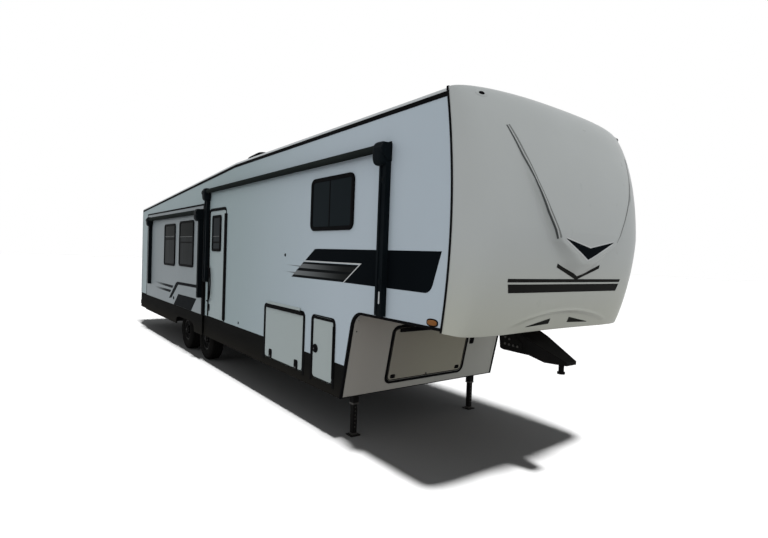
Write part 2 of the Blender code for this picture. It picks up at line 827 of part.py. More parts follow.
def buildFrame():
    # A ladder of two rails and cross members under the floor, drawn in plan.
    front = raisedFloorX - seatGap
    half = railHalfGauge + railWidth / 2
    inner = railHalfGauge - railWidth / 2
    crosses = [frameRear, 1.3, 2.5, middleCrossX, 6.4, front - crossWidth]
    loops = [[(crosses[0], -half), (front, -half), (front, half), (crosses[0], half)]]
    for first, second in zip(crosses, crosses[1:]):
        loops.append(rectangle(first + crossWidth, second, -inner, inner))
    plate("chassis_frame", "XY", loops, railBottom, floorTop - floorThick - seatGap, steelBlack)


def springOutline(x):
    # A leaf spring from the side: eyes under the rail, the bow resting on the axle tube's clamp.
    eye = railBottom - seatGap
    seat = tyreRadius + axleRadius + springThick
    flat = springHalf / 3
    tip = springThick * 1.2
    return [(x - springHalf, eye), (x - springHalf, eye - tip), (x - flat, seat - springThick),
            (x + flat, seat - springThick), (x + springHalf, eye - tip), (x + springHalf, eye),
            (x + springHalf - tip, eye), (x + flat, seat), (x - flat, seat), (x - springHalf + tip, eye)]


def buildAxle(name, x):
    # A straight axle tube with a leaf spring, its clamp and a hub spindle at each end.
    beamHalf = wheelCentreY - 0.02
    axle = cylinder(name, (x, -beamHalf, tyreRadius), (x, beamHalf, tyreRadius), axleRadius, steelBlack, 16)
    extra = []
    half = clampSize / 2
    for side in (-1, 1):
        y = side * railHalfGauge
        extra.append(box(name + "_clamp", (x - half, y - springWidth * 0.65, tyreRadius - half),
                         (x + half, y + springWidth * 0.65, tyreRadius + clampSize * 0.9), None))
        extra.append(plate(name + "_spring", "XZ", [springOutline(x)],
                           y - springWidth / 2, y + springWidth / 2, None))
    fuse(axle, extra)


def buildWheel(name, x, side):
    # The tyre is a turned ring; the rim is a turned disc with its hub, bored for the axle.
    half = tyreWidth / 2
    centre = (x, side * wheelCentreY, tyreRadius)
    bead = rimRadius + 0.02
    tread = tyreRadius - 0.012
    tyre = [(tread, half - tyreShoulder), (tyreRadius, half - 0.06), (tyreRadius, -half + 0.06),
            (tread, -half + tyreShoulder), (tyreRadius - 0.05, -half), (bead, -half + 0.01),
            (rimRadius, -half + 0.03), (rimRadius, half - 0.03), (bead, half - 0.01),
            (tyreRadius - 0.05, half), (tread, half - tyreShoulder)]
    turned(name + "_tyre", tyre, centre, "Y", rubber, wheelSteps)
    # Outer side at -Y in the turned frame is turned to face away from the trailer.
    lip = rimRadius - seatGap
    bore = axleRadius + seatGap
    face = -side
    rim = [(lip, face * rimBarrel), (lip - 0.012, face * rimBarrel), (lip - 0.03, face * rimDish),
           (hubRadius, face * 0.045), (hubRadius - 0.01, face * hubReach), (0.0, face * hubReach),
           (0.0, face * rimDish), (bore, face * rimDish), (bore, -face * 0.06),
           (hubRadius + 0.015, -face * 0.06), (lip - 0.03, 0.0), (lip - 0.012, -face * rimBarrel),
           (lip, -face * rimBarrel), (lip, face * rimBarrel)]
    turned(name + "_rim", rim[::-1] if face > 0 else rim, centre, "Y", alloy, wheelSteps)


def buildLeg(name, side):
    # A square outer tube from the deck, the inner tube below it and the foot on the ground.
    y = side * legY
    x = legX + legSize / 2
    half = legSize / 2
    slim = legInner / 2
    pad = footSize / 2
    outer = box(name, (x - half, y - half, skirtBottom - legDrop),
                (x + half, y + half, deckBottom - seatGap), steelBlack)
    inner = box(name + "_inner", (x - slim, y - slim, footThick / 2), (x + slim, y + slim, skirtBottom), None)
    foot = box(name + "_foot", (x - pad, y - pad, 0), (x + pad, y + pad, footThick), None)
    return fuse(outer, [inner, foot])


def pinBoxSide(inset):
    # The pin box from the side: flat under the deck, a sloping top plate and the low head with the king pin.
    top = deckBottom - seatGap
    head = pinHeadRear - inset
    tip = pinHeadFront - inset
    return [(pinRearX + inset, top + inset), (pinRearX + pinFlare + inset, pinRearZ + inset),
            (pinBendX + inset, pinBendZ + inset), (pinKneeX, pinKneeZ + inset),
            (head, pinHeadBottom + inset), (tip, pinHeadBottom + inset), (tip, pinTipZ - inset),
            (pinTopX - inset, top - inset), (pinTopX - inset, top + inset)]


def pinBoxPlan(inset):
    # The pin box from above: full width under the deck, drawn in to the head.
    wide = pinBoxHalf - inset
    slim = pinHeadHalf - inset
    rear = pinRearX - 0.10
    return [(rear, -wide), (pinWideX, -wide), (pinHeadFront - inset, -slim), (pinHeadFront - inset, slim),
            (pinWideX, wide), (rear, wide)]


def pinBoxBody(name, inset, material):
    # What the side outline and the plan outline share.
    body = plate(name, "XZ", [pinBoxSide(inset)], -pinBoxHalf, pinBoxHalf, material)
    plan = plate(name + "_plan", "XY", [pinBoxPlan(inset)], kingPinBottom, deckBottom + 0.1, None)
    return boolean(body, plan, "INTERSECT")


def buildPinBox():
    pinBox = pinBoxBody("pin_box", 0.0, steelBlack)
    cut(pinBox, [pinBoxBody("pin_box_hollow", pinBoxPlate, None)])
    shank = cylinder("king_pin", (kingPinX, 0, kingPinBottom), (kingPinX, 0, pinHeadBottom + pinBoxPlate / 2),
                     kingPinRadius, None, 24)
    collar = cylinder("king_pin_collar", (kingPinX, 0, kingPinBottom), (kingPinX, 0, kingPinBottom + 0.02),
                      kingPinCollar, None, 24)
    fuse(pinBox, [shank, collar])


def buildBumper():
    half = bumperSize / 2
    reach = halfWidth - bumperInset
    bumper = box("bumper", (-bumperReach, -reach, bumperZ - half),
                 (-bumperReach + bumperSize, reach, bumperZ + half), steelBlack)
    arms = []
    for side in (-1, 1):
        y = side * railHalfGauge
        arms.append(box("bumper_arm", (-bumperReach + bumperSize - 0.01, y - armHalf, bumperZ - armHalf),
                        (frameRear - seatGap, y + armHalf, bumperZ + armHalf), None))
    fuse(bumper, arms)


def buildSkirts():
    # Side skirts below the walls; the slide-outs carry the stretch in front of the wheels.
    slopeShare = (wallBottom - seatGap - skirtBottom) / (deckBottom - skirtBottom)
    frontTop = toeX + (kneeX - toeX) * slopeShare
    for name, side, slide, hatches in (("curb_skirt", -1, curbSlide, (sideHatch, smallHatch)),
                                       ("road_skirt", 1, roadSlide, (sideHatch,))):
        low, high = sideSpan(side, skirtThick)
        start = slide["x1"] + runGap
        top = wallBottom - seatGap
        outline = [(start, skirtBottom), (toeX, skirtBottom), (frontTop, top), (start, top)]
        skirt = plate(name, "XZ", [outline], low, high, skirtBlack)
        cut(skirt, [sideCutter(name + "_hole", loopOf(hatch, hatchRadius), side) for hatch in hatches])
    curbEnd = curbSlide["x0"] - runGap
    roadEnd = roadSlide["x0"] - runGap
    inner = halfWidth - skirtThick
    plan = [(curbEnd, -halfWidth), (curbEnd, -inner), (skirtThick, -inner), (skirtThick, inner),
            (roadEnd, inner), (roadEnd, halfWidth), (0, halfWidth), (0, -halfWidth)]
    rear = plate("rear_skirt", "XY", [plan], skirtBottom, wallBottom - seatGap, skirtBlack)
    holes = []
    for side in (-1, 1):
        y = side * railHalfGauge
        holes.append(box("bumper_hole", (-0.1, y - armHalf - seatGap, bumperZ - armHalf - seatGap),
                         (0.1, y + armHalf + seatGap, bumperZ + armHalf + seatGap), None))
    cut(rear, holes)


def fasciaOutline(slide):
    # The fascia carries its own skirt behind the wheels and is cut up over them.
    rear = archRear
    front = min(frontAxleX + tyreRadius + 0.12, slide["x1"])
    arch = wallBottom - 0.03
    return [(slide["x0"], skirtBottom), (slide["x0"], slide["top"]), (slide["x1"], slide["top"]),
            (slide["x1"], wallBottom), (front, wallBottom - 0.001), (front - 0.02, arch), (rear + 0.1, arch),
            (rear, wallBottom - 0.13), (rear, skirtBottom)]


def buildSlide(name, slide, side, windows):
    # A fascia over the wall with its own skirt, and an open-backed room behind it.
    proud = runGap + fasciaThick
    low, high = sideSpan(side, fasciaThick, proud)
    loops = [fasciaOutline(slide)] + [loopOf(window, windowRadius) for window in windows]
    plate(name + "_fascia", "XZ", loops, low, high, wallGrey)
    for index, window in enumerate(windows):
        windowPane(name + "_window_" + str(index + 1), window, side, proud + windowProud)
    lap = slideLap + roomGap
    outer = {"x0": slide["x0"] + lap, "x1": slide["x1"] - lap,
             "z0": floorTop + slideFloorLift + seatGap, "z1": slide["top"] - lap}
    inner = grown(outer, -slideWall)
    face = halfWidth + runGap - seatGap
    levels = sorted((side * face, side * (face - slideDepth)))
    plate(name + "_room", "XZ", [rectangle(outer["x0"], outer["x1"], outer["z0"], outer["z1"]),
                                 rectangle(inner["x0"], inner["x1"], inner["z0"], inner["z1"])],
          levels[0], levels[1], wallGrey)


def headOutline(root, rollerY, z):
    # An awning head from the end: round outside, over the roller, and drawn in to the arm below.
    centreZ = z - 0.02
    outline = [(root, centreZ + headRadius)]
    for step in range(7):
        angle = math.radians(90 + 120 * step / 6)
        outline.append((rollerY + headRadius * math.cos(angle), centreZ + headRadius * math.sin(angle)))
    outline += [(rollerY + 0.01, centreZ - headRadius - headDrop), (root, centreZ - headRadius - headDrop)]
    return outline


def buildAwning(name, awning, root):
    # A roller between two heads, each on an arm that stands on the wall or the fascia at root.
    rollerY = root - awning["reach"]
    z = awning["z"]
    starts = [arm[0] for arm in awning["arms"]]
    rollerEnd = starts[1] + headLength / 2
    roller = cylinder(name, (starts[0], rollerY, z), (rollerEnd, rollerY, z), awning["radius"], trimBlack, 16)
    extra = []
    for start, end in awning["arms"]:
        middle = (start + end) / 2
        extra.append(box(name + "_arm", (start, rollerY + 0.006, awning["foot"]),
                         (end, root - seatGap, z - 0.05), None))
        extra.append(plate(name + "_head", "YZ", [headOutline(root - seatGap, rollerY, z)],
                           middle - headLength / 2, middle + headLength / 2, None))
    fuse(roller, extra)


def roofPlace(x, y):
    # A point just above the roof with the tilt of the surface there.
    z = roofEdge(x) + roofCrown * (1 - (y / (halfWidth - roofEdgeRadius)) ** 2)
    rise = (roofEdge(x + 0.01) - roofEdge(x - 0.01)) / 0.02
    fall = -2 * roofCrown * y / (halfWidth - roofEdgeRadius) ** 2
    empty = bpy.data.objects.new("roof_place", None)
    parts.objects.link(empty)
    empty.parent = origin
    empty.location = (x, y, z + seatGap)
    empty.rotation_euler = (math.atan(fall), -math.atan(rise), 0)
    return empty


def buildRoofUnits():
    for name, x, y, size in roofUnits:
        place = roofPlace(x, y)
        half = (size[0] / 2, size[1] / 2)
        item = box(name, (-half[0], -half[1], 0), (half[0], half[1], size[2]), trimBlack, place)
        bevel = item.modifiers.new("round", "BEVEL")
        bevel.width = roofUnitRound
        bevel.segments = 2


def centreOrigin():
    # The origin goes to the middle of the outline, on the ground.
    bpy.context.view_layer.update()
    graph = bpy.context.evaluated_depsgraph_get()
    corners = []
    for item in parts.objects:
        if item.type == "MESH":
            evaluated = item.evaluated_get(graph)
            corners += [evaluated.matrix_world @ vertex.co for vertex in evaluated.data.vertices]
    middleX = (min(c.x for c in corners) + max(c.x for c in corners)) / 2
    middleY = (min(c.y for c in corners) + max(c.y for c in corners)) / 2
    origin.location = (-middleX, -middleY, 0)


buildWalls()
buildRoof()
buildCap()
buildFloors()
buildFrame()
buildNoseWall()
buildSkirts()
buildEntryDoor()
buildTopHatch("side_hatch", sideHatch, -1)
buildTopHatch("road_hatch", sideHatch, 1)
buildSideHatch("small_hatch", smallHatch, -1)
windowPane("bed_window", bedWindow, -1, windowProud)
windowPane("road_bed_window", bedWindow, 1, windowProud)
buildSlide("curb_slide", curbSlide, -1, curbWindows)
buildSlide("road_slide", roadSlide, 1, roadWindows)
buildAxle("front_axle", frontAxleX)
buildAxle("rear_axle", rearAxleX)
for label, wheelX in (("front", frontAxleX), ("rear", rearAxleX)):
    for sideName, sideSign in (("curb", -1), ("road", 1)):
        buildWheel(label + "_" + sideName, wheelX, sideSign)
buildLeg("curb_leg", -1)
buildLeg("road_leg", 1)
buildPinBox()
buildBumper()
buildAwning("awning", mainAwning, -halfWidth)
buildAwning("slide_awning", slideAwning, -halfWidth - runGap - fasciaThick)
buildRoofUnits()
centreOrigin()
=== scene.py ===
# Looks of the fifth wheel trailer: paint, glass, trim, graphics, running gear and the studio.
# Places are in metres: x forward from the rear wall, y from the middle (road side plus), z from the ground.
import math
from functools import partial

import bmesh
import bpy
import numpy as np
from mathutils import Matrix, Vector


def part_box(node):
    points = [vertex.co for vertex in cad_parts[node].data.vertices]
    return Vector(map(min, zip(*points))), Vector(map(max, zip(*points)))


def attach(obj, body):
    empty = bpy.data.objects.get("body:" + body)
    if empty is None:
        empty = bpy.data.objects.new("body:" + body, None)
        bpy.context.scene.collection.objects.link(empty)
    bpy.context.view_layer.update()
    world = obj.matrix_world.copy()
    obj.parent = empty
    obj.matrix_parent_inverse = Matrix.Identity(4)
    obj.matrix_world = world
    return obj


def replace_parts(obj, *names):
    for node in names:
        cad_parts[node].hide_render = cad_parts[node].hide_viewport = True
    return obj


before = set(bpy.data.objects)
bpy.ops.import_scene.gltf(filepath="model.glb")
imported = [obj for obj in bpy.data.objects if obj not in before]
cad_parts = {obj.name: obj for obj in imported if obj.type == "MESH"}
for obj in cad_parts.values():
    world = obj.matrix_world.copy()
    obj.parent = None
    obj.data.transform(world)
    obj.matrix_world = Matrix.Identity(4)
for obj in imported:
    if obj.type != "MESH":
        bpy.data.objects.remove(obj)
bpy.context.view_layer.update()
rearLow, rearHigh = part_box("rear_wall")
trailerOrigin = np.array([rearLow.x, (rearLow.y + rearHigh.y) / 2, 0.0])  # where x and y are zero
halfWidth = (rearHigh.y - rearLow.y) / 2
print("frame loaded", len(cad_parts), "nodes")


# Mesh tools: a shape is a pair (points, faces); a place function turns (u, v, out) into points

meshes = {"mergeWithin": 0.00002, "sharpAngle": 38}


def xyz(x, y, z):
    # coordinates of any fitting shapes as one array of points
    return np.stack(np.broadcast_arrays(x, y, z), -1)


def joined(shapes):
    points, faces, count = [], [], 0
    for shapePoints, shapeFaces in shapes:
        points.append(np.asarray(shapePoints, float).reshape(-1, 3))
        faces += [[index + count for index in face] for face in shapeFaces]
        count += len(points[-1])
    return np.concatenate(points), faces


def put(name, shapes, paint, body="trailer", smooth=True):
    # a piece from one shape or a list of them; its place goes into the mesh
    points, faces = joined(shapes if isinstance(shapes, list) else [shapes])
    mesh = bpy.data.meshes.new(name)
    mesh.from_pydata((points + trailerOrigin).tolist(), [], faces)
    form = bmesh.new()
    form.from_mesh(mesh)
    bmesh.ops.remove_doubles(form, verts=form.verts, dist=meshes["mergeWithin"])
    bmesh.ops.recalc_face_normals(form, faces=form.faces)
    form.to_mesh(mesh)
    form.free()
    if smooth:
        mesh.shade_smooth()
        mesh.set_sharp_from_angle(angle=math.radians(meshes["sharpAngle"]))
    else:
        mesh.shade_flat()
    item = bpy.data.objects.new(name, mesh)
    bpy.context.scene.collection.objects.link(item)
    mesh.materials.append(paints[paint])
    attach(item, body)
    return item


def putFlat(name, shapes, paint, body="trailer"):
    return put(name, shapes, paint, body, smooth=False)


def gridFaces(rows, columns, closeRows=False, closeColumns=False, start=0):
    # quads of a grid of rows by columns, by index arithmetic; either way may close on itself
    row = np.arange(rows if closeRows else rows - 1)[:, None]
    column = np.arange(columns if closeColumns else columns - 1)[None, :]
    nextRow, nextColumn = (row + 1) % rows, (column + 1) % columns
    quads = np.stack([row * columns + column, row * columns + nextColumn,
                      nextRow * columns + nextColumn, nextRow * columns + column], -1)
    return (quads.reshape(-1, 4) + start).tolist()


def sweep(rings, closed=False):
    # rings (n, m, 3) of m points joined one to the next, and capped at both ends unless the row of rings closes
    n, m = rings.shape[:2]
    caps = [] if closed else [list(range(m))[::-1], list(range((n - 1) * m, n * m))]
    return rings.reshape(-1, 3), gridFaces(n, m, closeRows=closed, closeColumns=True) + caps


def shellOf(outer, inner):
    # two grids of one shape, back to back, joined round their rims
    n, m = outer.shape[:2]
    rim = np.concatenate([np.arange(m), np.arange(1, n) * m + m - 1, (n - 1) * m + np.arange(m - 1)[::-1],
                          np.arange(1, n - 1)[::-1] * m])
    following = np.roll(rim, -1)
    sides = np.stack([rim, following, following + n * m, rim + n * m], -1).tolist()
    return (np.concatenate([outer.reshape(-1, 3), inner.reshape(-1, 3)]),
            gridFaces(n, m) + gridFaces(n, m, start=n * m) + sides)


def around(steps):
    return np.linspace(0, 2 * np.pi, steps, endpoint=False)[None, :]


def squared(turn, power):
    # the radius of a superellipse by its angle: 1 at the sides and more towards the corners, times cosine and sine
    bulge = (np.abs(np.cos(turn)) ** power + np.abs(np.sin(turn)) ** power) ** (-1 / power)
    return bulge * np.cos(turn), bulge * np.sin(turn)


def roundedLoop(u0, u1, v0, v1, radius, steps=6):
    # a rectangle whose corners are quarter circles: points and the outward normal at each
    angle = (np.radians([0, 90, 180, 270])[:, None] + np.radians(np.linspace(0, 90, steps + 1))).ravel()
    centres = np.repeat([(u1 - radius, v1 - radius), (u0 + radius, v1 - radius), (u0 + radius, v0 + radius),
                         (u1 - radius, v0 + radius)], steps + 1, axis=0)
    normal = np.stack([np.cos(angle), np.sin(angle)], -1)
    return centres + radius * normal, normal


def polyline(points, steps):
    # even points along straight stretches between the given ones
    points = np.asarray(points, float)
    length = np.concatenate([[0], np.cumsum(np.linalg.norm(np.diff(points, axis=0), axis=1))])
    along = np.linspace(0, length[-1], steps)
    return np.stack([np.interp(along, length, points[:, k]) for k in range(points.shape[1])], -1)


def leftOf(path):
    # the left normal at each point of a flat path (n, 2), from the direction between its neighbours
    run = np.gradient(path, axis=0)
    run /= np.linalg.norm(run, axis=1, keepdims=True)
    return np.stack([-run[:, 1], run[:, 0]], -1)


def frameOn(place, loop, profile, closed=True):
    # a profile of (across, out) pairs carried along a loop of (points, normals): across is along the normal
    points, normal = loop
    profile = np.asarray(profile, float)
    across = points[:, None, :] + normal[:, None, :] * profile[None, :, :1]
    return sweep(place(across[..., 0], across[..., 1], profile[:, 1]), closed)


def bandOn(place, low, high, depth, base=0.0):
    # a flat band between two edges (n, 2), of even depth
    ring = np.stack([low, high, high, low], 1)
    return sweep(place(ring[..., 0], ring[..., 1], base + depth * np.array([0, 0, 1, 1])))


def plateOn(place, outline, depth, base=0.0):
    # a flat outline (n, 2) given depth
    u, v = np.asarray(outline, float).T
    return sweep(np.stack([place(u, v, base), place(u, v, base + depth)]))


def boxOn(place, u0, u1, v0, v1, depth, base=0.0, radius=0.0, steps=6):
    # a flat plate between two places each way, its corners round where a radius is given
    corners = [(u0, v0), (u1, v0), (u1, v1), (u0, v1)]
    return plateOn(place, roundedLoop(u0, u1, v0, v1, radius, steps)[0] if radius else corners, depth, base)


def studOn(place, u, v, radius, depth, base=0.0, steps=4):
    return boxOn(place, u - radius, u + radius, v - radius, v + radius, depth, base, radius - 0.0002, steps)


def domeOn(place, u, v, a, b, height, squareness=2.0, sink=0.002):
    # an oval or, with a higher squareness, a rounded square that stands proud of a surface:
    # its height falls with the root of one less the radius to the fourth power
    radius = np.sin(np.radians(np.linspace(0, 90, 8)))[:, None]
    across, up = squared(around(32), squareness)
    dome = place(u + a * radius * across, v + b * radius * up, height * np.sqrt(1 - radius ** 4))
    return sweep(np.concatenate([dome, place(u + a * across, v + b * up, -sink)]))


def onSide(x, z, out, side=-1, base=0.0):
    # a point on a side wall: x and z along it, out metres proud of the wall plus base
    return xyz(x, side * (halfWidth + base + out), z)


def onRear(y, z, out, base=0.0):
    return xyz(-base - out, y, z)


# Finishes

def added(tree, kind, inputs, **settings):
    # a shader node with its settings and inputs: each input is a value or the output that feeds it
    node = tree.nodes.new("ShaderNode" + kind)
    for key, value in settings.items():
        setattr(node, key, value)
    fed(tree, node, inputs)
    return node


def fed(tree, node, inputs):
    for key, value in inputs.items():
        if isinstance(value, bpy.types.NodeSocket):
            tree.links.new(value, node.inputs[key])
        else:
            node.inputs[key].default_value = value


def finish(name, dark, light, rough, specular, tone, grain, bump, depth=0.0006, stretch=(1, 1, 1), spread=0.06,
           metal=0.0, fade=None):
    # Principled paint: two noises on Object coordinates vary its tone and gloss, a third one is its grain
    material = bpy.data.materials.new(name)
    material.use_nodes = True
    tree = material.node_tree
    place = added(tree, "TexCoord", {}).outputs["Object"]
    stretched = added(tree, "Mapping", {"Vector": place, "Scale": stretch}).outputs["Vector"]

    def noise(scale, detail):
        return added(tree, "TexNoise", {"Vector": stretched, "Scale": scale, "Detail": detail}).outputs["Fac"]

    colour = added(tree, "Mix", {"Factor": noise(tone, 4.0), "A": (*dark, 1), "B": (*light, 1)},
                   data_type="RGBA").outputs["Result"]
    # on the wall, hatch and nose laminates this fade is painted shade; on the cap gelcoat and the blind glass it is a
    # painted tint of light; elsewhere it is a printed fade or a two-tone band
    if fade:  # a second colour that takes over along one axis, between two places
        axis, start, end, other = fade
        origin = trailerOrigin["XYZ".index(axis)]
        along = added(tree, "SeparateXYZ", {"Vector": place}).outputs[axis]
        share = added(tree, "MapRange", {"Value": along, "From Min": start + origin, "From Max": end + origin},
                      interpolation_type="SMOOTHSTEP").outputs["Result"]
        colour = added(tree, "Mix", {"Factor": share, "A": colour, "B": (*other, 1)},
                       data_type="RGBA").outputs["Result"]
    gloss = added(tree, "MapRange", {"Value": noise(9.0, 3.0), "To Min": rough - spread, "To Max": rough + spread})
    relief = added(tree, "Bump", {"Height": noise(grain, 2.0), "Strength": bump, "Distance": depth})
    fed(tree, tree.nodes["Principled BSDF"], {
        "Base Color": colour, "Roughness": gloss.outputs["Result"], "Normal": relief.outputs["Normal"],
        "Metallic": metal, "Specular IOR Level": specular})
    return material


black = (0.006, 0.006, 0.0065)
laminate = (0.36, 0.02, 0.45, 14, 0.03, 0.0008, (1.6, 1.6, 0.5))  # roughness to bump, its depth and the stretch
laminates = {  # dark and light tone, and the fade: its axis, start, end and colour
    # the side wall's fade, darker towards the rear, is painted shade
    "wall_laminate": ((0.415, 0.475, 0.53), (0.475, 0.54, 0.595), ("X", 10.4, 6.0, (0.305, 0.372, 0.388))),
    # the slide room's laminate is a darker copy of the wall's, painted shade under the slide awning; its black below
    # the band top is its own paint
    "slide_laminate_painted_shade": ((0.225, 0.255, 0.268), (0.265, 0.295, 0.312), ("Z", 0.8575, 0.8555, black)),
    # the nose wall's laminate is a darker, warmer copy of the wall's: painted shade under the overhang, darker still
    # towards the curb side
    "nose_wall_painted_shade": ((0.34, 0.34, 0.315), (0.40, 0.40, 0.365), ("Y", 0.2, -1.0, (0.31, 0.295, 0.27))),
    # the nose hatch's laminate is a darker, warmer copy of the hatches': painted shade under the overhang, darker
    # still towards the curb side
    "nose_hatch_painted_shade": ((0.275, 0.265, 0.215), (0.325, 0.31, 0.25), ("Y", 0.3, -0.7, (0.25, 0.235, 0.20))),
    # the hatches' fade, darker towards the rear, is painted shade like the wall's
    "hatch_laminate": ((0.355, 0.40, 0.40), (0.395, 0.44, 0.435), ("X", 9.3, 5.8, (0.33, 0.385, 0.395))),
}
finishes = {  # dark and light tone, roughness, specular, scale of the tone, scale of the grain, bump, and the rest
    # the gelcoat's fade, warmer towards the bottom, is a painted tint of light thrown up from the ground
    "cap_gelcoat": ((0.42, 0.435, 0.43), (0.47, 0.49, 0.485), 0.3, 0.04, 0.8, 7, 0.02,
                    {"depth": 0.001, "fade": ("Z", 2.3, 1.35, (0.45, 0.455, 0.40))}),
    "skirt_black": ((0.006, 0.006, 0.006), (0.012, 0.012, 0.0115), 0.7, 0.004, 2, 60, 0.1,
                    {"stretch": (1, 1, 4), "fade": ("Z", 0.75, 0.42, (0.016, 0.015, 0.013))}),
    "trim_black": ((0.003, 0.003, 0.0035), (0.008, 0.008, 0.0085), 0.5, 0.004, 5, 400, 0.2, {"depth": 0.0003}),
    "awning_black": ((0.003, 0.0045, 0.006), (0.008, 0.011, 0.013), 0.42, 0.008, 3, 350, 0.1, {"depth": 0.0003}),
    "awning_fabric": ((0.008, 0.010, 0.010), (0.020, 0.024, 0.023), 0.8, 0.006, 6, 900, 0.4,
                      {"depth": 0.0004, "stretch": (0.3, 1, 1)}),
    "glass_tinted": ((0.006, 0.009, 0.011), (0.018, 0.024, 0.028), 0.06, 0.006, 0.9, 4, 0.02,
                     {"spread": 0.03, "stretch": (1, 1, 0.5)}),
    # the lower pane is lighter, partly the blind behind it and partly a painted reflection of the ground; above the
    # sash lip the glass is darker
    "glass_over_blind_painted_reflection": ((0.006, 0.008, 0.009), (0.026, 0.029, 0.030), 0.14, 0.003, 4.2, 4, 0.02,
                         {"spread": 0.03, "stretch": (2.4, 2.4, 0.25),
                          "fade": ("Z", 2.24, 2.30, (0.007, 0.009, 0.009))}),
    "steel_black_paint": ((0.004, 0.004, 0.004), (0.011, 0.0105, 0.010), 0.5, 0.012, 7, 260, 0.3, {"depth": 0.0005}),
    "tyre_rubber": ((0.004, 0.004, 0.004), (0.010, 0.0095, 0.009), 0.82, 0.004, 9, 420, 0.3, {}),
    # the rims are near black: partly their dark finish, partly painted shade of the wheel wells
    "wheel_alloy_dark_painted_shade": ((0.004, 0.004, 0.004), (0.010, 0.010, 0.010), 0.42, 0.012, 8, 300, 0.08, {"metal": 0.3}),
    "bright_metal": ((0.03, 0.03, 0.03), (0.08, 0.08, 0.08), 0.35, 0.5, 12, 500, 0.06, {"metal": 0.9}),
    "anodised_silver": ((0.36, 0.38, 0.39), (0.46, 0.48, 0.49), 0.4, 0.5, 2, 400, 0.08,
                        {"metal": 0.4, "stretch": (0.3, 4, 4)}),
    "roof_membrane": ((0.50, 0.51, 0.50), (0.60, 0.61, 0.60), 0.68, 0.3, 1.4, 45, 0.3, {"depth": 0.0012}),
    "floor_board": ((0.26, 0.17, 0.10), (0.40, 0.29, 0.18), 0.6, 0.5, 2.5, 70, 0.3, {"stretch": (0.4, 6, 6)}),
    "graphic_black": ((0.0025, 0.0035, 0.0045), (0.0055, 0.0075, 0.0095), 0.4, 0.002, 1.2, 60, 0.04, {}),
    "graphic_charcoal": ((0.010, 0.010, 0.0095), (0.020, 0.0195, 0.018), 0.42, 0.004, 1.5, 60, 0.04, {}),
    "graphic_white": ((0.50, 0.51, 0.51), (0.58, 0.59, 0.59), 0.4, 0.02, 3, 80, 0.04, {}),
    "lens_amber": ((0.12, 0.045, 0.012), (0.34, 0.14, 0.04), 0.3, 0.05, 60, 180, 0.5,
                   {"depth": 0.0008, "stretch": (1, 1, 6)}),
    "lens_red": ((0.22, 0.008, 0.006), (0.42, 0.018, 0.012), 0.22, 0.1, 60, 180, 0.5, {"depth": 0.0008}),
    "light_bar_lens": ((0.17, 0.18, 0.175), (0.23, 0.24, 0.235), 0.3, 0.05, 14, 260, 0.1, {}),
    "light_bar_edge": ((0.055, 0.06, 0.06), (0.085, 0.09, 0.09), 0.45, 0.05, 9, 260, 0.1, {}),
    "vent_dark": ((0.014, 0.015, 0.013), (0.034, 0.035, 0.030), 0.65, 0.01, 14, 200, 0.3, {}),
    "graphic_stripe": ((0.004, 0.005, 0.0055), (0.008, 0.0095, 0.0105), 0.42, 0.003, 0.6, 60, 0.04,
                       {"fade": ("X", 8.9, 8.6, (0.014, 0.016, 0.017))}),
    "graphic_stripe_ground": ((0.010, 0.011, 0.011), (0.018, 0.019, 0.019), 0.42, 0.003, 0.6, 60, 0.04,
                              {"fade": ("X", 9.9, 8.55, (0.17, 0.18, 0.185))}),
    "graphic_streak": ((0.13, 0.14, 0.145), (0.18, 0.19, 0.20), 0.42, 0.01, 0.6, 60, 0.04,
                       {"fade": ("X", 8.72, 8.36, (0.37, 0.42, 0.455))}),
    "graphic_slide_streak": ((0.005, 0.007, 0.009), (0.012, 0.015, 0.018), 0.42, 0.004, 0.6, 60, 0.04,
                             {"fade": ("X", 2.7, 1.35, (0.30, 0.33, 0.345))}),
    "roof_unit_plastic": ((0.44, 0.45, 0.44), (0.54, 0.55, 0.54), 0.55, 0.3, 3, 160, 0.2, {}),
    "steel_worn": ((0.012, 0.0115, 0.011), (0.060, 0.056, 0.052), 0.45, 0.3, 26, 300, 0.3,
                   {"metal": 0.5, "depth": 0.0004}),
    "underbody_sheet": ((0.004, 0.004, 0.004), (0.010, 0.0095, 0.009), 0.75, 0.003, 3, 60, 0.3, {"depth": 0.001}),
}
paints = {}
for name, (dark, light, fade) in laminates.items():
    paints[name] = finish(name, dark, light, *laminate, fade=fade)
for name, (*values, rest) in finishes.items():
    paints[name] = finish(name, *values, **rest)

nodePaint = {
    "wall_laminate": ["curb_wall", "road_wall", "rear_wall"],
    "slide_laminate_painted_shade": ["curb_slide_fascia", "road_slide_fascia", "curb_slide_room", "road_slide_room"],
    "nose_wall_painted_shade": ["nose_wall"],
    "nose_hatch_painted_shade": ["nose_hatch"],
    "hatch_laminate": ["entry_door", "side_hatch", "road_hatch", "small_hatch", "side_hatch_hinge",
                       "road_hatch_hinge"],
    "cap_gelcoat": ["nose_cap"],
    "skirt_black": ["curb_skirt", "road_skirt", "rear_skirt"],
    "trim_black": ["entry_door_handle", "entry_door_hinge", "small_hatch_hinge", "nose_hatch_hinge", "vent_cover",
                   "air_conditioner"],
    "awning_black": ["awning", "slide_awning"],
    "glass_tinted": ["bed_window", "road_bed_window", "rear_window", "entry_door_window"],
    "glass_over_blind_painted_reflection": ["curb_slide_window_1", "curb_slide_window_2", "road_slide_window_1"],
    "steel_black_paint": ["chassis_frame", "storage_tray", "front_axle", "rear_axle", "curb_leg", "road_leg",
                          "pin_box", "bumper"],
    "roof_membrane": ["roof"],
    "floor_board": ["main_floor", "raised_floor"],
}
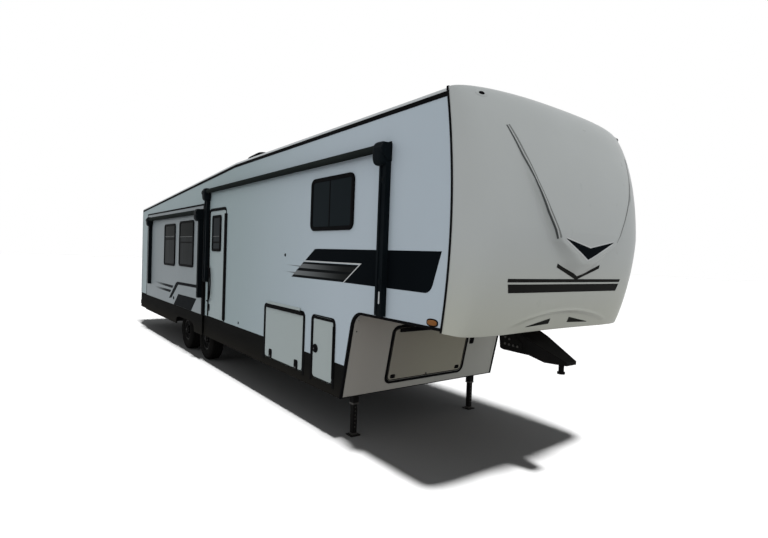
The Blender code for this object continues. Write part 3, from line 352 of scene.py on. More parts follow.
for end in ("front", "rear"):
    for side in ("curb", "road"):
        nodePaint.setdefault("tyre_rubber", []).append(end + "_" + side + "_tyre")
        nodePaint.setdefault("wheel_alloy_dark_painted_shade", []).append(end + "_" + side + "_rim")
for paint, names in nodePaint.items():
    for name in names:
        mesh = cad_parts[name].data
        mesh.materials.clear()
        mesh.materials.append(paints[paint])
print("finishes made", len(paints))


# Nose cap

cap = {
    "depth": 0.4685, "waist": 2.317, "topDepth": 0.163, "topPower": 2.641, "bottomDepth": 0.294,
    "bottomPower": 1.246, "bottom": 1.415, "planTop": 3.03, "planBottom": 6.652,
    "roof": 3.466, "crown": 0.034, "seamFoot": 11.36, "seamLean": -0.04, "seamBow": 0.085, "deck": 1.436,
    "thick": 0.006, "lipPeak": 1.607, "lipEnd": 1.475, "lipHalf": 0.80, "lipRise": 0.012, "lipWidth": 0.016,
    "scoop": 0.03, "scoopHeight": 0.035,
}
capGrid = {
    "sideSteps": 46, "faceSteps": 22, "edgeSteps": 8, "topRows": 34, "chestRows": 46, "chinRows": 44,
    "chin": 1.66, "roofRows": 7, "deckRows": 6, "middle": 2.4, "shrinkHalf": (0.5, 1.0),
}
shieldTable = np.array([  # level, half width of the face, half width at the foot of its edge, height
    (1.40, 0.36, 0.62, 0.0), (1.70, 0.30, 0.50, 0.0), (1.80, 0.15, 0.32, 0.0), (1.925, 0.05, 0.10, 0.0),
    (2.04, 0.06, 0.34, 0.07), (2.13, 0.22, 0.43, 0.075), (2.22, 0.42, 0.50, 0.07), (2.317, 0.50, 0.56, 0.066),
    (2.69, 0.76, 0.81, 0.04), (3.13, 0.93, 0.97, 0.0), (3.60, 0.93, 0.97, 0.0)])


def seamX(z):
    # the seam leans back and bows forward between the deck and the roof
    share = (z - cap["deck"]) / (cap["roof"] - cap["deck"])
    return cap["seamFoot"] + cap["seamLean"] * share + cap["seamBow"] * 4 * share * (1 - share)


def rounding(share, power):
    # a quarter superellipse: 1 at the middle, 0 at share 1
    return (1 - np.clip(share, 0, 1) ** power) ** (1 / power)


def roofLineAt(y):
    return cap["roof"] + cap["crown"] * (1 - (y / halfWidth) ** 2)


def planPower(level):
    # the plan's squareness goes evenly from the bottom's to the roof's
    share = (level - cap["bottom"]) / (cap["roof"] - cap["bottom"])
    return cap["planBottom"] + (cap["planTop"] - cap["planBottom"]) * share


def shieldHeight(y, z):
    # the shield's height inside its face, falling along a cosine to nothing at its foot
    face, foot, height = (np.interp(z, shieldTable[:, 0], shieldTable[:, k]) for k in (1, 2, 3))
    share = np.clip((np.abs(y) - face) / (foot - face), 0, 1)
    return height * (0.5 + 0.5 * np.cos(np.pi * share))


def lipHeight(y, z):
    # a soft ridge along an arch, and a scoop below it: a bell curve less a smooth step, both fading to the ends
    fade = np.clip(1 - (y / cap["lipHalf"]) ** 2, 0, 1)
    arch = cap["lipEnd"] + (cap["lipPeak"] - cap["lipEnd"]) * fade
    ridge = cap["lipRise"] * np.exp(-((z - arch) / cap["lipWidth"]) ** 2) * np.sqrt(fade)
    step = np.clip((arch - z) / cap["scoopHeight"], 0, 1)
    return ridge - cap["scoop"] * fade * step * step * (3 - 2 * step)


def capX(y, z, level=None, reach=1.0):
    # the cap's outer skin: seam, plus a superellipse in profile times one in plan, plus shield and lip
    level = z if level is None else level
    upper = (z - cap["waist"]) / (roofLineAt(y) - cap["waist"])
    lower = (cap["waist"] - z) / (cap["waist"] - cap["bottom"])
    top = cap["topDepth"] + (cap["depth"] - cap["topDepth"]) * rounding(upper, cap["topPower"])
    low = cap["bottomDepth"] + (cap["depth"] - cap["bottomDepth"]) * rounding(lower, cap["bottomPower"])
    depth = np.where(z >= cap["waist"], top, low) + shieldHeight(y, z) + lipHeight(y, z)
    return seamX(level) + depth * reach * rounding(np.abs(y) / halfWidth, planPower(level))


def onCap(y, z, lift=0.0):
    # a point on the cap by its place across and its height, lifted along the skin's normal
    y, z, lift = (np.asarray(part, float) for part in np.broadcast_arrays(y, z, lift))
    step = 0.004
    slopeY = (capX(y + step, z) - capX(y - step, z)) / (2 * step)
    slopeZ = (capX(y, z + step) - capX(y, z - step)) / (2 * step)
    length = np.sqrt(1 + slopeY ** 2 + slopeZ ** 2)
    return xyz(capX(y, z) + lift / length, y - lift * slopeY / length, z - lift * slopeZ / length)


def buildCap():
    # rows run from the roof seam over the nose to the underside seam; columns follow the shield's edge
    waist, roof, bottom, chin = cap["waist"], cap["roof"], cap["bottom"], capGrid["chin"]
    top = waist + (roof - waist) * np.sin(np.radians(np.linspace(90, 0, capGrid["topRows"]))) ** (2 / cap["topPower"])
    front = np.concatenate([np.linspace(waist, chin, capGrid["chestRows"])[1:],
                            np.linspace(chin, bottom, capGrid["chinRows"])[1:]])
    level = np.concatenate([np.full(capGrid["roofRows"] - 1, roof), top, front,
                            np.full(capGrid["deckRows"] - 1, bottom)])
    reach = np.concatenate([np.linspace(0, 1, capGrid["roofRows"])[:-1], np.ones(len(top) + len(front)),
                            np.linspace(1, 0, capGrid["deckRows"])[1:]])
    face, foot = (np.interp(level, shieldTable[:, 0], shieldTable[:, k])[:, None] for k in (1, 2))
    power = planPower(level)[:, None]
    faceShare, edgeShare, sideShare = (np.linspace(0, 1, capGrid[key] + 1)[1:]
                                       for key in ("faceSteps", "edgeSteps", "sideSteps"))
    start = np.arcsin((foot / halfWidth) ** (power / 2))
    turn = start + (np.pi / 2 - start) * sideShare
    half = np.concatenate([face * faceShare, face + (foot - face) * edgeShare,
                           halfWidth * np.sin(turn) ** (2 / power)], axis=1)
    y = np.concatenate([-half[:, ::-1], np.zeros((len(level), 1)), half], axis=1)
    levels = np.broadcast_to(level[:, None], y.shape)
    z = np.where(levels > waist, waist + (roofLineAt(y) - waist) * (levels - waist) / (roof - waist), levels)
    outer = xyz(capX(y, z, levels, reach[:, None]), y, z)
    middle = np.array([seamX(capGrid["middle"]), 0, capGrid["middle"]])
    halfDepth, halfHeight = capGrid["shrinkHalf"]
    inner = outer - (outer - middle) * cap["thick"] / np.array([halfDepth, halfWidth, halfHeight])
    inner[..., 0] = np.where(outer[..., 0] - seamX(levels) < 1e-6, outer[..., 0], inner[..., 0])
    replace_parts(put("nose_cap_skin", shellOf(outer, inner), "cap_gelcoat"), "nose_cap")


buildCap()
print("nose cap done")


# Graphics and lamps of the nose cap

capMarks = {
    "steps": 81, "outline": 0.011,
    "chevronTop": [(-0.385, 2.25), (0, 2.181), (0.385, 2.25)],
    "chevronFoot": [(-0.385, 2.246), (0, 2.078), (0.385, 2.246)],
    "vee": [(-0.344, 2.019), (0, 1.91), (0.344, 2.019)], "veeWidth": 0.034,
    "bands": [(1.871, 1.900, (-0.938, 0.808), (-0.940, 0.813)), (1.782, 1.854, (-0.900, 0.785), (-0.928, 0.805))],
    "barPath": [(0.94, 3.13), (0.848, 2.90), (0.745, 2.685), (0.605, 2.46), (0.462, 2.25)], "barSteps": 60,
    "barWidths": (0.036, 0.022), "railWidth": 0.007, "beadWidth": 0.0049, "beadShare": 0.3,
    "vent": [(0.150, 1.532), (0.49, 1.472)], "ventFoot": [(0.150, 1.478), (0.49, 1.466)], "ventSteps": 24,
    "slats": (0.3, 0.6), "slatWidth": 0.004, "slatShort": 4,  # points that a slat ends before the vent's tip
    "lamp": (1.077, 3.387), "lampBase": (0.045, 0.034, 0.008), "lampLens": (0.024, 0.016, 0.016), "lampDrop": 0.004,
    "lifts": {"outline": 0.0012, "chevron": 0.0022, "lens": 0.0025, "rail": 0.004, "bead": 0.0045, "vent": 0.001},
}


def capPatch(low, high, lift=0.0015, columns=7, sink=0.003):
    # a film on the cap between two edges (n, 2) of (y, z), straight across from one edge to the other
    share = np.linspace(0, 1, columns)[None, :, None]
    place = low[:, None, :] * (1 - share) + high[:, None, :] * share
    return shellOf(onCap(place[..., 0], place[..., 1], lift), onCap(place[..., 0], place[..., 1], -sink))


def capRibbon(path, width, lift, columns=5):
    # a strip of even width on the cap, half on each side of its path
    side = leftOf(path) * width / 2
    return capPatch(path - side, path + side, lift, columns)


def buildCapMarks():
    steps, lifts = capMarks["steps"], capMarks["lifts"]
    top, foot, vee = (polyline(capMarks[key], steps) for key in ("chevronTop", "chevronFoot", "vee"))
    rise, drop = np.array([0, capMarks["outline"]]), np.array([0, capMarks["veeWidth"] / 2])
    put("cap_chevron_outline", capPatch(foot - rise * 1.3, top + rise, lifts["outline"], 13), "graphic_white")
    put("cap_chevron", capPatch(foot, top, lifts["chevron"], 13), "graphic_black")
    put("cap_lower_vee", capPatch(vee - drop, vee + drop), "graphic_charcoal")
    bands = []
    for low, high, footEnds, topEnds in capMarks["bands"]:
        foot, top = (polyline([(ends[0], z), (ends[1], z)], steps) for ends, z in ((footEnds, low), (topEnds, high)))
        bands.append(capPatch(foot, top, columns=5))
    put("cap_bands", bands, "graphic_charcoal")
    rails, beads, lenses, vents, slats, bases, lamps = [], [], [], [], [], [], []
    for side in (-1, 1):
        path = polyline(capMarks["barPath"], capMarks["barSteps"]) * [side, 1]
        outward = leftOf(path) * side * np.linspace(*capMarks["barWidths"], len(path))[:, None] / 2
        lenses.append(capPatch(path - outward, path + outward, lifts["lens"], 5))
        rails.append(capRibbon(path + outward, capMarks["railWidth"], lifts["rail"]))
        beads.append(capRibbon(path + outward * capMarks["beadShare"], capMarks["beadWidth"], lifts["bead"]))
        low, high = (polyline(capMarks[key], capMarks["ventSteps"]) * [side, 1] for key in ("ventFoot", "vent"))
        vents.append(capPatch(low, high, lifts["vent"]))
        for share in capMarks["slats"]:
            path = (low * (1 - share) + high * share)[:-capMarks["slatShort"]]
            slats.append(capRibbon(path, capMarks["slatWidth"], lifts["rail"], columns=3))
        (y, z), drop = capMarks["lamp"], capMarks["lampDrop"]
        bases.append(domeOn(onCap, side * y, z, *capMarks["lampBase"], sink=0.004))
        lamps.append(domeOn(onCap, side * y, z - drop, *capMarks["lampLens"], sink=0.004))
    put("cap_light_rails", rails, "light_bar_edge")
    put("cap_light_beads", beads, "graphic_white")
    put("cap_light_bars", lenses, "light_bar_lens")
    put("cap_slats", slats, "steel_black_paint")
    put("cap_vents", vents, "vent_dark")
    put("cap_lamp_bases", bases, "cap_gelcoat")
    put("cap_lamps", lamps, "trim_black")


buildCapMarks()
print("cap marks done")


# Mouldings

edges = {
    "toeX": 9.845, "kneeX": 10.05, "toeZ": 0.485, "kneeRadius": 0.17, "kneeSteps": 15, "proud": 0.006,
    "seamWidth": 0.021, "roofRear": 3.035, "roofBend": 3.435, "roofStartX": 0.02, "roofBendX": 6.57,
    "roofEndX": 11.32, "roofLap": 0.02, "stripDrop": 0.057, "stripWidth": 0.042, "stripProud": 0.005,
    "edgeRadius": 0.035, "edgeProud": 0.004, "edgeLip": 0.028, "edgeSink": 0.003, "cornerFoot": 0.86,
    "cornerDrop": 0.08, "plateInner": 1.150, "plateProud": 0.0015, "toe": (0.001, 0.010, 0.004),
    "angle": [(0.022, 0.0), (0.022, 0.0036), (0.019, 0.006), (-0.002, 0.006), (-0.005, 0.0036), (-0.005, -0.028),
              (0.0, -0.028), (0.0, 0.0)],
    "corner": [(-0.003, 0.006), (0.045, 0.006), (0.045, 0.0), (0.0, 0.0), (0.0, -0.045), (-0.003, -0.045)],
}
slopeLean = math.atan2(edges["kneeX"] - edges["toeX"], cap["deck"] - edges["toeZ"])


def roofEdge(x):
    # the roof's edge rises to the bend, then hardly at all
    return np.interp(x, [0, edges["roofBendX"], edges["roofEndX"]],
                     [edges["roofRear"], edges["roofBend"], cap["roof"]])


def roofTop(x, y):
    # the crown is a parabola across the roof
    return roofEdge(x) + cap["crown"] * (1 - (y / (halfWidth - edges["edgeRadius"])) ** 2)


def onSlope(y, up, out):
    # a point on the sloped wall: up along the slope from the toe, out along its normal
    return xyz(edges["toeX"] + math.sin(slopeLean) * up + math.cos(slopeLean) * out, y,
               edges["toeZ"] + math.cos(slopeLean) * up - math.sin(slopeLean) * out)


def kneePath():
    # up the slope, round the knee, along the deck: the arc's centre lies one radius from both
    turn = math.pi / 2 - slopeLean
    radius = edges["kneeRadius"]
    angle = math.pi - slopeLean - turn * np.linspace(0, 1, edges["kneeSteps"])
    centre = np.array([edges["kneeX"] + radius * math.tan(turn / 2), cap["deck"] - radius])
    arc = centre + radius * np.stack([np.cos(angle), np.sin(angle)], -1)
    return np.concatenate([[[edges["toeX"], edges["toeZ"]]], arc, [[seamX(cap["deck"]) - 0.005, cap["deck"]]]])


def roofStations():
    return np.array([edges["roofStartX"], edges["roofBendX"], edges["roofEndX"] + edges["roofLap"]])


def roofEdging(side):
    # a strip bent over the roof's rounded edge: up the wall, round a quarter circle, in along the roof
    radius, skins = edges["edgeRadius"], []
    turn = np.radians(np.linspace(0, 90, 9))
    for reach in (radius + edges["edgeProud"], radius - edges["edgeSink"]):
        arc = np.stack([halfWidth - radius + reach * np.cos(turn), reach * np.sin(turn) - radius], -1)
        skins.append(np.concatenate([arc[:1] - [0, edges["edgeSink"]], arc, arc[-1:] - [edges["edgeLip"], 0]]))
    ring = np.concatenate([skins[0], skins[1][::-1]])
    x = roofStations()[:, None]
    return sweep(xyz(x, side * ring[:, 0], roofEdge(x) + ring[:, 1]))


def buildMouldings():
    strips, rails, corners, plates = [], [], [], []
    proud, half = edges["proud"], edges["seamWidth"] / 2
    knee = (kneePath(), leftOf(kneePath()))
    seamZ = np.linspace(cap["bottom"] + 0.002, cap["roof"] - 0.02, 40)
    seam = np.stack([seamX(seamZ), seamZ], -1)
    line = np.stack([roofStations(), roofEdge(roofStations()) - edges["stripDrop"]], -1)
    for side in (-1, 1):
        place = partial(onSide, side=side)
        strips.append(frameOn(place, knee, edges["angle"], closed=False))
        ends, back = (side * edges["plateInner"], side * (halfWidth - 0.0005)), -edges["plateProud"]
        profile = [(0.0005, ends[0]), (0.0005, ends[1]), (back, ends[1]), (back, ends[0])]
        plates.append(frameOn(lambda x, z, y: xyz(x, y, z), knee, profile, closed=False))
        strips.append(bandOn(place, seam - [half, 0], seam + [half, 0], proud))
        rise = [0, edges["stripWidth"] / 2]
        strips.append(bandOn(place, line - rise, line + rise, edges["stripProud"]))
        rails.append(roofEdging(side))
        z = np.linspace(edges["cornerFoot"], roofEdge(0.0) - edges["cornerDrop"], 12)[:, None]
        x, out = np.array(edges["corner"]).T
        corners.append(sweep(onSide(x, z, out, side)))
    y = np.linspace(-halfWidth - 0.004, halfWidth + 0.004, 61)[:, None]
    x, rise = np.array([(-half, -0.03), (half, -0.03), (half, proud), (-half, proud)]).T
    strips.append(sweep(xyz(seamX(cap["roof"]) + x, y, roofLineAt(y) + rise)))
    strips.append(boxOn(onSlope, -halfWidth, halfWidth, *edges["toe"]))
    put("edge_mouldings", strips, "trim_black")
    # the side walls' edges along the knee are covered in the nose wall's painted-shade colour
    put("nose_wall_edges", plates, "nose_wall_painted_shade")
    put("roof_rails", rails, "anodised_silver")
    put("rear_corners", corners, "anodised_silver")


buildMouldings()
print("mouldings done")


# Graphics of the side walls

sideMarks = {
    "film": 0.0014,
    "band": [(9.19, 2.096), (9.26, 2.10), (11.331, 2.101), (11.300, 2.01), (11.272, 1.925), (11.235, 1.812),
             (11.222, 1.786), (11.203, 1.763), (11.178, 1.746), (11.150, 1.738), (11.120, 1.737),
             (9.833, 1.744), (10.146, 1.957), (8.962, 1.957)],
    "arrow": [(8.95, 1.948), (10.144, 1.953), (9.833, 1.744)], "arrowWidth": 0.011,
    "stripeGround": [(8.888, 1.915), (10.118, 1.941), (9.833, 1.746), (8.612, 1.742)],
    "stripes": [[(8.925, 1.937), (10.118, 1.941), (10.075, 1.913), (8.885, 1.914)],
                [(8.81, 1.862), (10.00, 1.858), (9.962, 1.833), (8.735, 1.826)],
                [(8.673, 1.771), (9.871, 1.773), (9.833, 1.746), (8.612, 1.740)]],
    "streaks": [[(8.43, 1.889), (8.86, 1.886), (8.84, 1.873)], [(8.335, 1.803), (8.72, 1.803), (8.70, 1.787)]],
    "archLine": [(2.895, 0.958), (3.105, 0.982), (3.60, 1.296), (5.03, 1.320), (5.03, 1.378), (3.53, 1.353),
                 (3.43, 1.325)],
    "slideStreaks": [[(1.25, 1.240), (1.60, 1.250), (3.232, 1.250), (3.160, 1.192), (2.2, 1.205)],
                     [(1.20, 1.126), (1.50, 1.138), (3.065, 1.146), (2.985, 1.088), (2.1, 1.095)]],
    "slideBlock": [(3.62, 1.105), (4.84, 1.115), (4.527, 0.858), (3.29, 0.858)],
    "slideDot": (3.269, 0.993, 0.055, 0.034, 0.004), "dots": [(8.417, 2.010), (6.859, 0.922)], "dotRadius": 0.021,
    "roadShift": 0.30, "marker": (11.248, 1.4915, 0.062, 0.025),
}
slideTrim = {
    "base": 0.036, "rear": 0.030, "top": 0.033, "front": 0.070, "bandTop": 0.8565, "bandFoot": 0.487,
    "arch": [(3.485, 0.487), (3.50, 0.575), (3.58, 0.625), (3.75, 0.652), (4.45, 0.655), (4.62, 0.635),
             (4.71, 0.585), (4.745, 0.487)],
    "returnY": (1.2275, 1.259), "returnDepth": 0.0025, "seal": (0.005, 0.041, 0.862),
}


def mitred(points, width):
    # the edges of a line of even width: each corner is moved along the sum of its two normals
    points = np.asarray(points, float)
    run = np.diff(points, axis=0)
    run /= np.linalg.norm(run, axis=1, keepdims=True)
    normal = np.stack([-run[:, 1], run[:, 0]], -1)
    mitre = (normal[:-1] + normal[1:]) / (1 + (normal[:-1] * normal[1:]).sum(1, keepdims=True))
    move = np.concatenate([normal[:1], mitre, normal[-1:]]) * width / 2
    return points - move, points + move


def buildSideMarks():
    marks, film = sideMarks, sideMarks["film"]
    for name, side in (("curb_", -1), ("road_", 1)):
        place = partial(onSide, side=side)
        putFlat(name + "side_band", plateOn(place, marks["band"], film), "graphic_black")
        putFlat(name + "side_stripe_ground", plateOn(place, marks["stripeGround"], film * 0.6),
                "graphic_stripe_ground")
        putFlat(name + "side_stripes", [plateOn(place, outline, film) for outline in marks["stripes"]],
                "graphic_stripe")
        putFlat(name + "side_arrow", bandOn(place, *mitred(marks["arrow"], marks["arrowWidth"]), film * 1.6),
                "graphic_white")
        putFlat(name + "side_streaks", [plateOn(place, outline, film) for outline in marks["streaks"]],
                "graphic_streak")
        buildSlideMarks(name, side)
        radius = marks["dotRadius"]
        put(name + "side_dots", [domeOn(place, x, z, radius, radius, 0.006) for x, z in marks["dots"]], "trim_black")
        x, z, a, b = marks["marker"]
        put(name + "marker_base", domeOn(place, x, z, a * 1.2, b * 1.4, 0.006, 2.6), "trim_black")
        put(name + "marker_lens", domeOn(place, x, z, a, b, 0.016, 2.4), "lens_amber")


def buildSlideMarks(name, side):
    # graphics, skirt and edging of a slide-out's fascia, and the seal on the wall in front of it
    body, film, edging = name + "room", sideMarks["film"], slideTrim
    place = partial(onSide, side=side, base=edging["base"])
    shift = np.array([sideMarks["roadShift"] if side > 0 else 0.0, 0])
    graphic = [plateOn(place, sideMarks[key] + shift, film) for key in ("archLine", "slideBlock")]
    x, z, *dot = sideMarks["slideDot"]
    putFlat(name + "slide_graphic", graphic + [domeOn(place, x + shift[0], z, *dot)], "graphic_black", body)
    low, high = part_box(name + "slide_fascia")
    x0, x1, top = low.x - trailerOrigin[0] + 0.001, high.x - trailerOrigin[0] - 0.001, high.z - 0.001
    foot, bandTop = edging["bandFoot"], edging["bandTop"]
    skirt = [(x0, foot)] + edging["arch"] + [(x1, foot), (x1, bandTop), (x0, bandTop)]
    putFlat(name + "slide_skirt", plateOn(place, skirt, 0.0085, -0.007), "skirt_black", body)
    rear, front, under = x0 + edging["rear"], x1 - edging["front"], top - edging["top"]
    strip = [(x0, bandTop), (x0, top), (x1, top), (x1, bandTop), (front, bandTop), (front, under), (rear, under),
             (rear, bandTop)]
    parts = [plateOn(place, strip, 0.003)]
    for x, depth in ((x0 - 0.001, -edging["returnDepth"]), (x1 + 0.001, edging["returnDepth"])):
        parts.append(boxOn(lambda y, z, out, x=x: xyz(x + out, side * y, z), *edging["returnY"], bandTop, top, depth))
    putFlat(name + "slide_edging", parts, "trim_black", body)
    start, end, foot = edging["seal"]
    putFlat(name + "slide_seal", boxOn(partial(onSide, side=side), x1 + start, x1 + end, foot, top, 0.010),
            "trim_black")
    putFlat(name + "slide_streaks", [plateOn(place, outline + shift, film) for outline in sideMarks["slideStreaks"]],
            "graphic_slide_streak", body)


buildSideMarks()
print("side graphics done")


# Windows

windows = {  # x and z of the glass, how far the frame laps it, how proud its glass is, body, side, and the bars
    "bed_window": ((9.10, 9.98), (2.319, 2.90), 0.012, 0.012, "trailer", -1, {"upright": 9.51}),
    "road_bed_window": ((9.10, 9.98), (2.319, 2.90), 0.012, 0.012, "trailer", 1, {"upright": 9.51}),
    "curb_slide_window_1": ((2.46, 3.32), (1.67, 2.56), 0.004, 0.048, "curb_room", -1, {"bar": 2.24, "lip": 2.295}),
    "curb_slide_window_2": ((3.65, 4.60), (1.69, 2.59), 0.004, 0.048, "curb_room", -1, {"bar": 2.168, "lip": 2.28}),
    "road_slide_window_1": ((2.60, 4.30), (1.67, 2.56), 0.044, 0.0375, "road_room", 1, {}),
    "entry_door_window": ((5.57, 5.99), (2.02, 2.63), 0.004, 0.012, "door", -1, {"bar": 2.172, "lip": 2.274}),
}
rearWindow = {"y": (-0.55, 0.55), "z": (1.75, 2.35), "grow": 0.008, "base": 0.012}
windowTrim = {  # the profile is a flat bar with rounded outer edges: across from the loop inward, out from the glass
    "profile": [(0.0, -0.014), (0.0, 0.0055), (-0.003, 0.009), (-0.007, 0.010), (-0.040, 0.010), (-0.044, 0.008),
                (-0.046, 0.004), (-0.046, -0.014)],
    "radius": 0.07, "doorRadius": 0.04, "inset": 0.02, "barHalf": 0.012, "barProud": 0.004, "lipHalf": 0.006,
    "lipProud": 0.0015, "uprightHalf": 0.0084, "rearHalf": 0.009, "uprightProud": 0.0035,
}


def windowFrame(place, across, up, grow, radius):
    loop = roundedLoop(across[0] - grow, across[1] + grow, up[0] - grow, up[1] + grow, radius + grow, 8)
    return frameOn(place, loop, windowTrim["profile"])


def buildWindows():
    inset, lip, depth = windowTrim["inset"], windowTrim["lipHalf"], windowTrim["uprightProud"]
    for name, (across, up, grow, base, body, side, bars) in windows.items():
        place = partial(onSide, side=side, base=base)
        radius = windowTrim["doorRadius" if body == "door" else "radius"]
        parts = [windowFrame(place, across, up, grow, radius)]
        x0, x1, half = across[0] + inset, across[1] - inset, windowTrim["barHalf"]
        if "bar" in bars:
            parts.append(boxOn(place, x0, x1, bars["bar"] - half, bars["bar"] + half, windowTrim["barProud"]))
            sashLip = boxOn(place, x0, x1, bars["lip"] - lip, bars["lip"] + lip, windowTrim["lipProud"])
            putFlat(name + "_sash_lip", sashLip, "light_bar_edge", body)
        if "upright" in bars:
            x, half = bars["upright"], windowTrim["uprightHalf"]
            parts.append(boxOn(place, x - half, x + half, up[0] + inset, up[1] - inset, depth))
        put(name + "_frame", parts, "trim_black", body)
    place, up, half = partial(onRear, base=rearWindow["base"]), rearWindow["z"], windowTrim["rearHalf"]
    surround = windowFrame(place, rearWindow["y"], up, rearWindow["grow"], windowTrim["radius"])
    bar = boxOn(place, -half, half, up[0] + inset, up[1] - inset, depth)
    put("rear_window_frame", [surround, bar], "trim_black")


buildWindows()
print("window frames done")


# Door and hatch trims, latches and the lock

door = {
    "edge": (5.385, 6.229, 0.866, 2.756, 0.083), "hinge": (0.880, 2.650, 6.1785, 6.2185, 6.2300),
    "latch": (5.452, 1.02, 0.040, 0.062, 0.020), "topStart": 5,  # the loop's point where the raised edge begins
    "flat": [(0.0, -0.002), (0.0, 0.0035), (-0.003, 0.005), (-0.030, 0.005), (-0.032, 0.002), (-0.032, -0.002)],
    "raised": [(-0.001, 0.0), (-0.001, 0.0104), (-0.004, 0.013), (-0.041, 0.013), (-0.044, 0.0104), (-0.044, 0.0)],
}
sideHatch = {
    "outer": (7.820, 9.012, 0.556, 1.338, 0.075), "inner": (7.857, 8.971, 0.556, 1.328, 0.063),
    "edge": (7.863, 8.965, 0.596, 1.3225), "top": (7.864, 8.964, 1.2835, 1.3232), "topProud": 0.0218,
    "hinge": (7.932, 8.896, 1.2835, 1.3235, 1.3350),
    "latches": [(8.050, 0.660, 0.050, 0.062), (8.798, 0.652, 0.052, 0.062)],
}
smallHatch = {
    "outer": (9.166, 9.706, 0.556, 1.333, 0.07), "inner": (9.202, 9.668, 0.556, 1.321, 0.058),
    "edge": (9.208, 9.6635, 0.596, 1.3155), "top": (9.209, 9.6625, 1.286, 1.3152), "topProud": 0.006,
    "hinge": (0.666, 1.245, 9.6235, 9.6635, 9.6750), "lock": (9.272, 0.938, 0.060, 0.052),
}
leafTrim = {"radius": 0.052, "gasket": 0.010, "noseGasket": 0.008, "proud": 0.005, "sink": 0.003,
            "coverDepth": 0.0215, "tongueBase": 0.0194, "tongueDepth": 0.0018, "lap": 0.002}


def archLoop(x0, x1, z0, z1, radius, steps=8):
    # up the front edge, over the top with round corners, down the rear edge: points and outward normals
    turn = np.radians(np.linspace(0, 90, steps + 1))
    angle = np.concatenate([[0], turn, turn + math.pi / 2, [math.pi]])
    centreX = np.repeat([x1 - radius, x0 + radius], steps + 2)
    centreZ = np.concatenate([[z0], [z1 - radius] * (2 * steps + 2), [z0]])
    normal = np.stack([np.cos(angle), np.sin(angle)], -1)
    return np.stack([centreX, centreZ], -1) + radius * normal, normal


def hingeCover(place, start, end, back, edge, neck, upright=False):
    # a cap over a hinge plate: full depth up to the leaf's edge, then a thin tongue to the barrel
    def placed(along, across, out):
        return place(across, along, out) if upright else place(along, across, out)

    cover = boxOn(placed, start, end, back, edge, leafTrim["coverDepth"])
    tongue = boxOn(placed, start, end, edge - leafTrim["lap"], neck, leafTrim["tongueDepth"], leafTrim["tongueBase"])
    return joined([cover, tongue])


def gasketOn(place, edge, radius, width):
    return frameOn(place, roundedLoop(*edge, radius, 8), [(0, -0.002), (0, 0.002), (-width, 0.002), (-width, -0.002)])


def topBand(x0, x1, z0, z1):
    # a low strip whose upper corners follow a leaf's rounded corners
    radius = leafTrim["radius"]
    angle = np.linspace(math.asin((z0 - z1 + radius) / radius), math.pi / 2, 7)
    left = np.stack([x0 + radius - radius * np.cos(angle), z1 - radius + radius * np.sin(angle)], -1)
    return np.concatenate([left, left[::-1] * [-1, 1] + [x0 + x1, 0]])


def latchOn(place, x, z, a, b, depth=0.017):
    # a paddle latch: a rounded square cup with a raised paddle and a keyhole
    cup = domeOn(place, x, z, a, b, depth * 0.5, 6.0)
    paddle = domeOn(place, x, z + b * 0.28, a * 0.72, b * 0.5, depth, 5.0)
    return joined([cup, paddle]), domeOn(place, x, z - b * 0.55, a * 0.3, a * 0.3, depth * 0.72)


def hatchEdging(name, hatch, place, body, extra):
    # a flat surround open at the foot on the wall, and a gasket with a top band on the leaf
    sink, proud = leafTrim["sink"], leafTrim["proud"]
    inner, outer = (archLoop(*hatch[key])[0] for key in ("inner", "outer"))
    putFlat(name + "_surround", bandOn(place, inner, outer, sink + proud, -sink), "trim_black")
    parts = [plateOn(place, topBand(*hatch["top"]), hatch["topProud"]),
             gasketOn(place, hatch["edge"], leafTrim["radius"], leafTrim["gasket"])]
    putFlat(name + "_gasket", extra + parts, "trim_black", body)


def buildTrims():
    (loop, normal), first = archLoop(*door["edge"]), door["topStart"]
    parts = [frameOn(onSide, (loop, normal), door["flat"], closed=False),
             hingeCover(onSide, *door["hinge"], upright=True),
             frameOn(onSide, (loop[first:], normal[first:]), door["raised"], closed=False)]
    put("door_gasket", parts, "trim_black", "door")
    for name, side, body in (("side_hatch", -1, "curb_hatch_leaf"), ("road_hatch", 1, "road_hatch_leaf")):
        place = partial(onSide, side=side)
        hatchEdging(name, sideHatch, place, body, [hingeCover(place, *sideHatch["hinge"])])
        cups, keys = zip(*[latchOn(place, *spot) for spot in sideHatch["latches"]])
        put(name + "_latches", list(cups), "trim_black", body)
        put(name + "_keyholes", list(keys), "bright_metal", body)
    hatchEdging("small_hatch", smallHatch, onSide, "small_hatch_leaf", [])
    putFlat("small_hatch_hinge_cover", hingeCover(onSide, *smallHatch["hinge"], upright=True), "hatch_laminate",
            "small_hatch_leaf")
    x, z, a, b = smallHatch["lock"]
    put("small_hatch_lock", [domeOn(onSide, x, z, a, b, 0.014), domeOn(onSide, x, z, a * 0.66, b * 0.66, 0.022, 3.0)],
        "trim_black", "small_hatch_leaf")
    put("small_hatch_keyhole", domeOn(onSide, x, z, 0.014, 0.014, 0.0245), "bright_metal", "small_hatch_leaf")
    cup, key = latchOn(onSide, *door["latch"])
    put("door_latch", cup, "trim_black", "door")
    put("door_keyhole", key, "bright_metal", "door")


buildTrims()
print("door and hatch trims done")


# Sloped nose wall: hatch surround, latches, socket and rivets

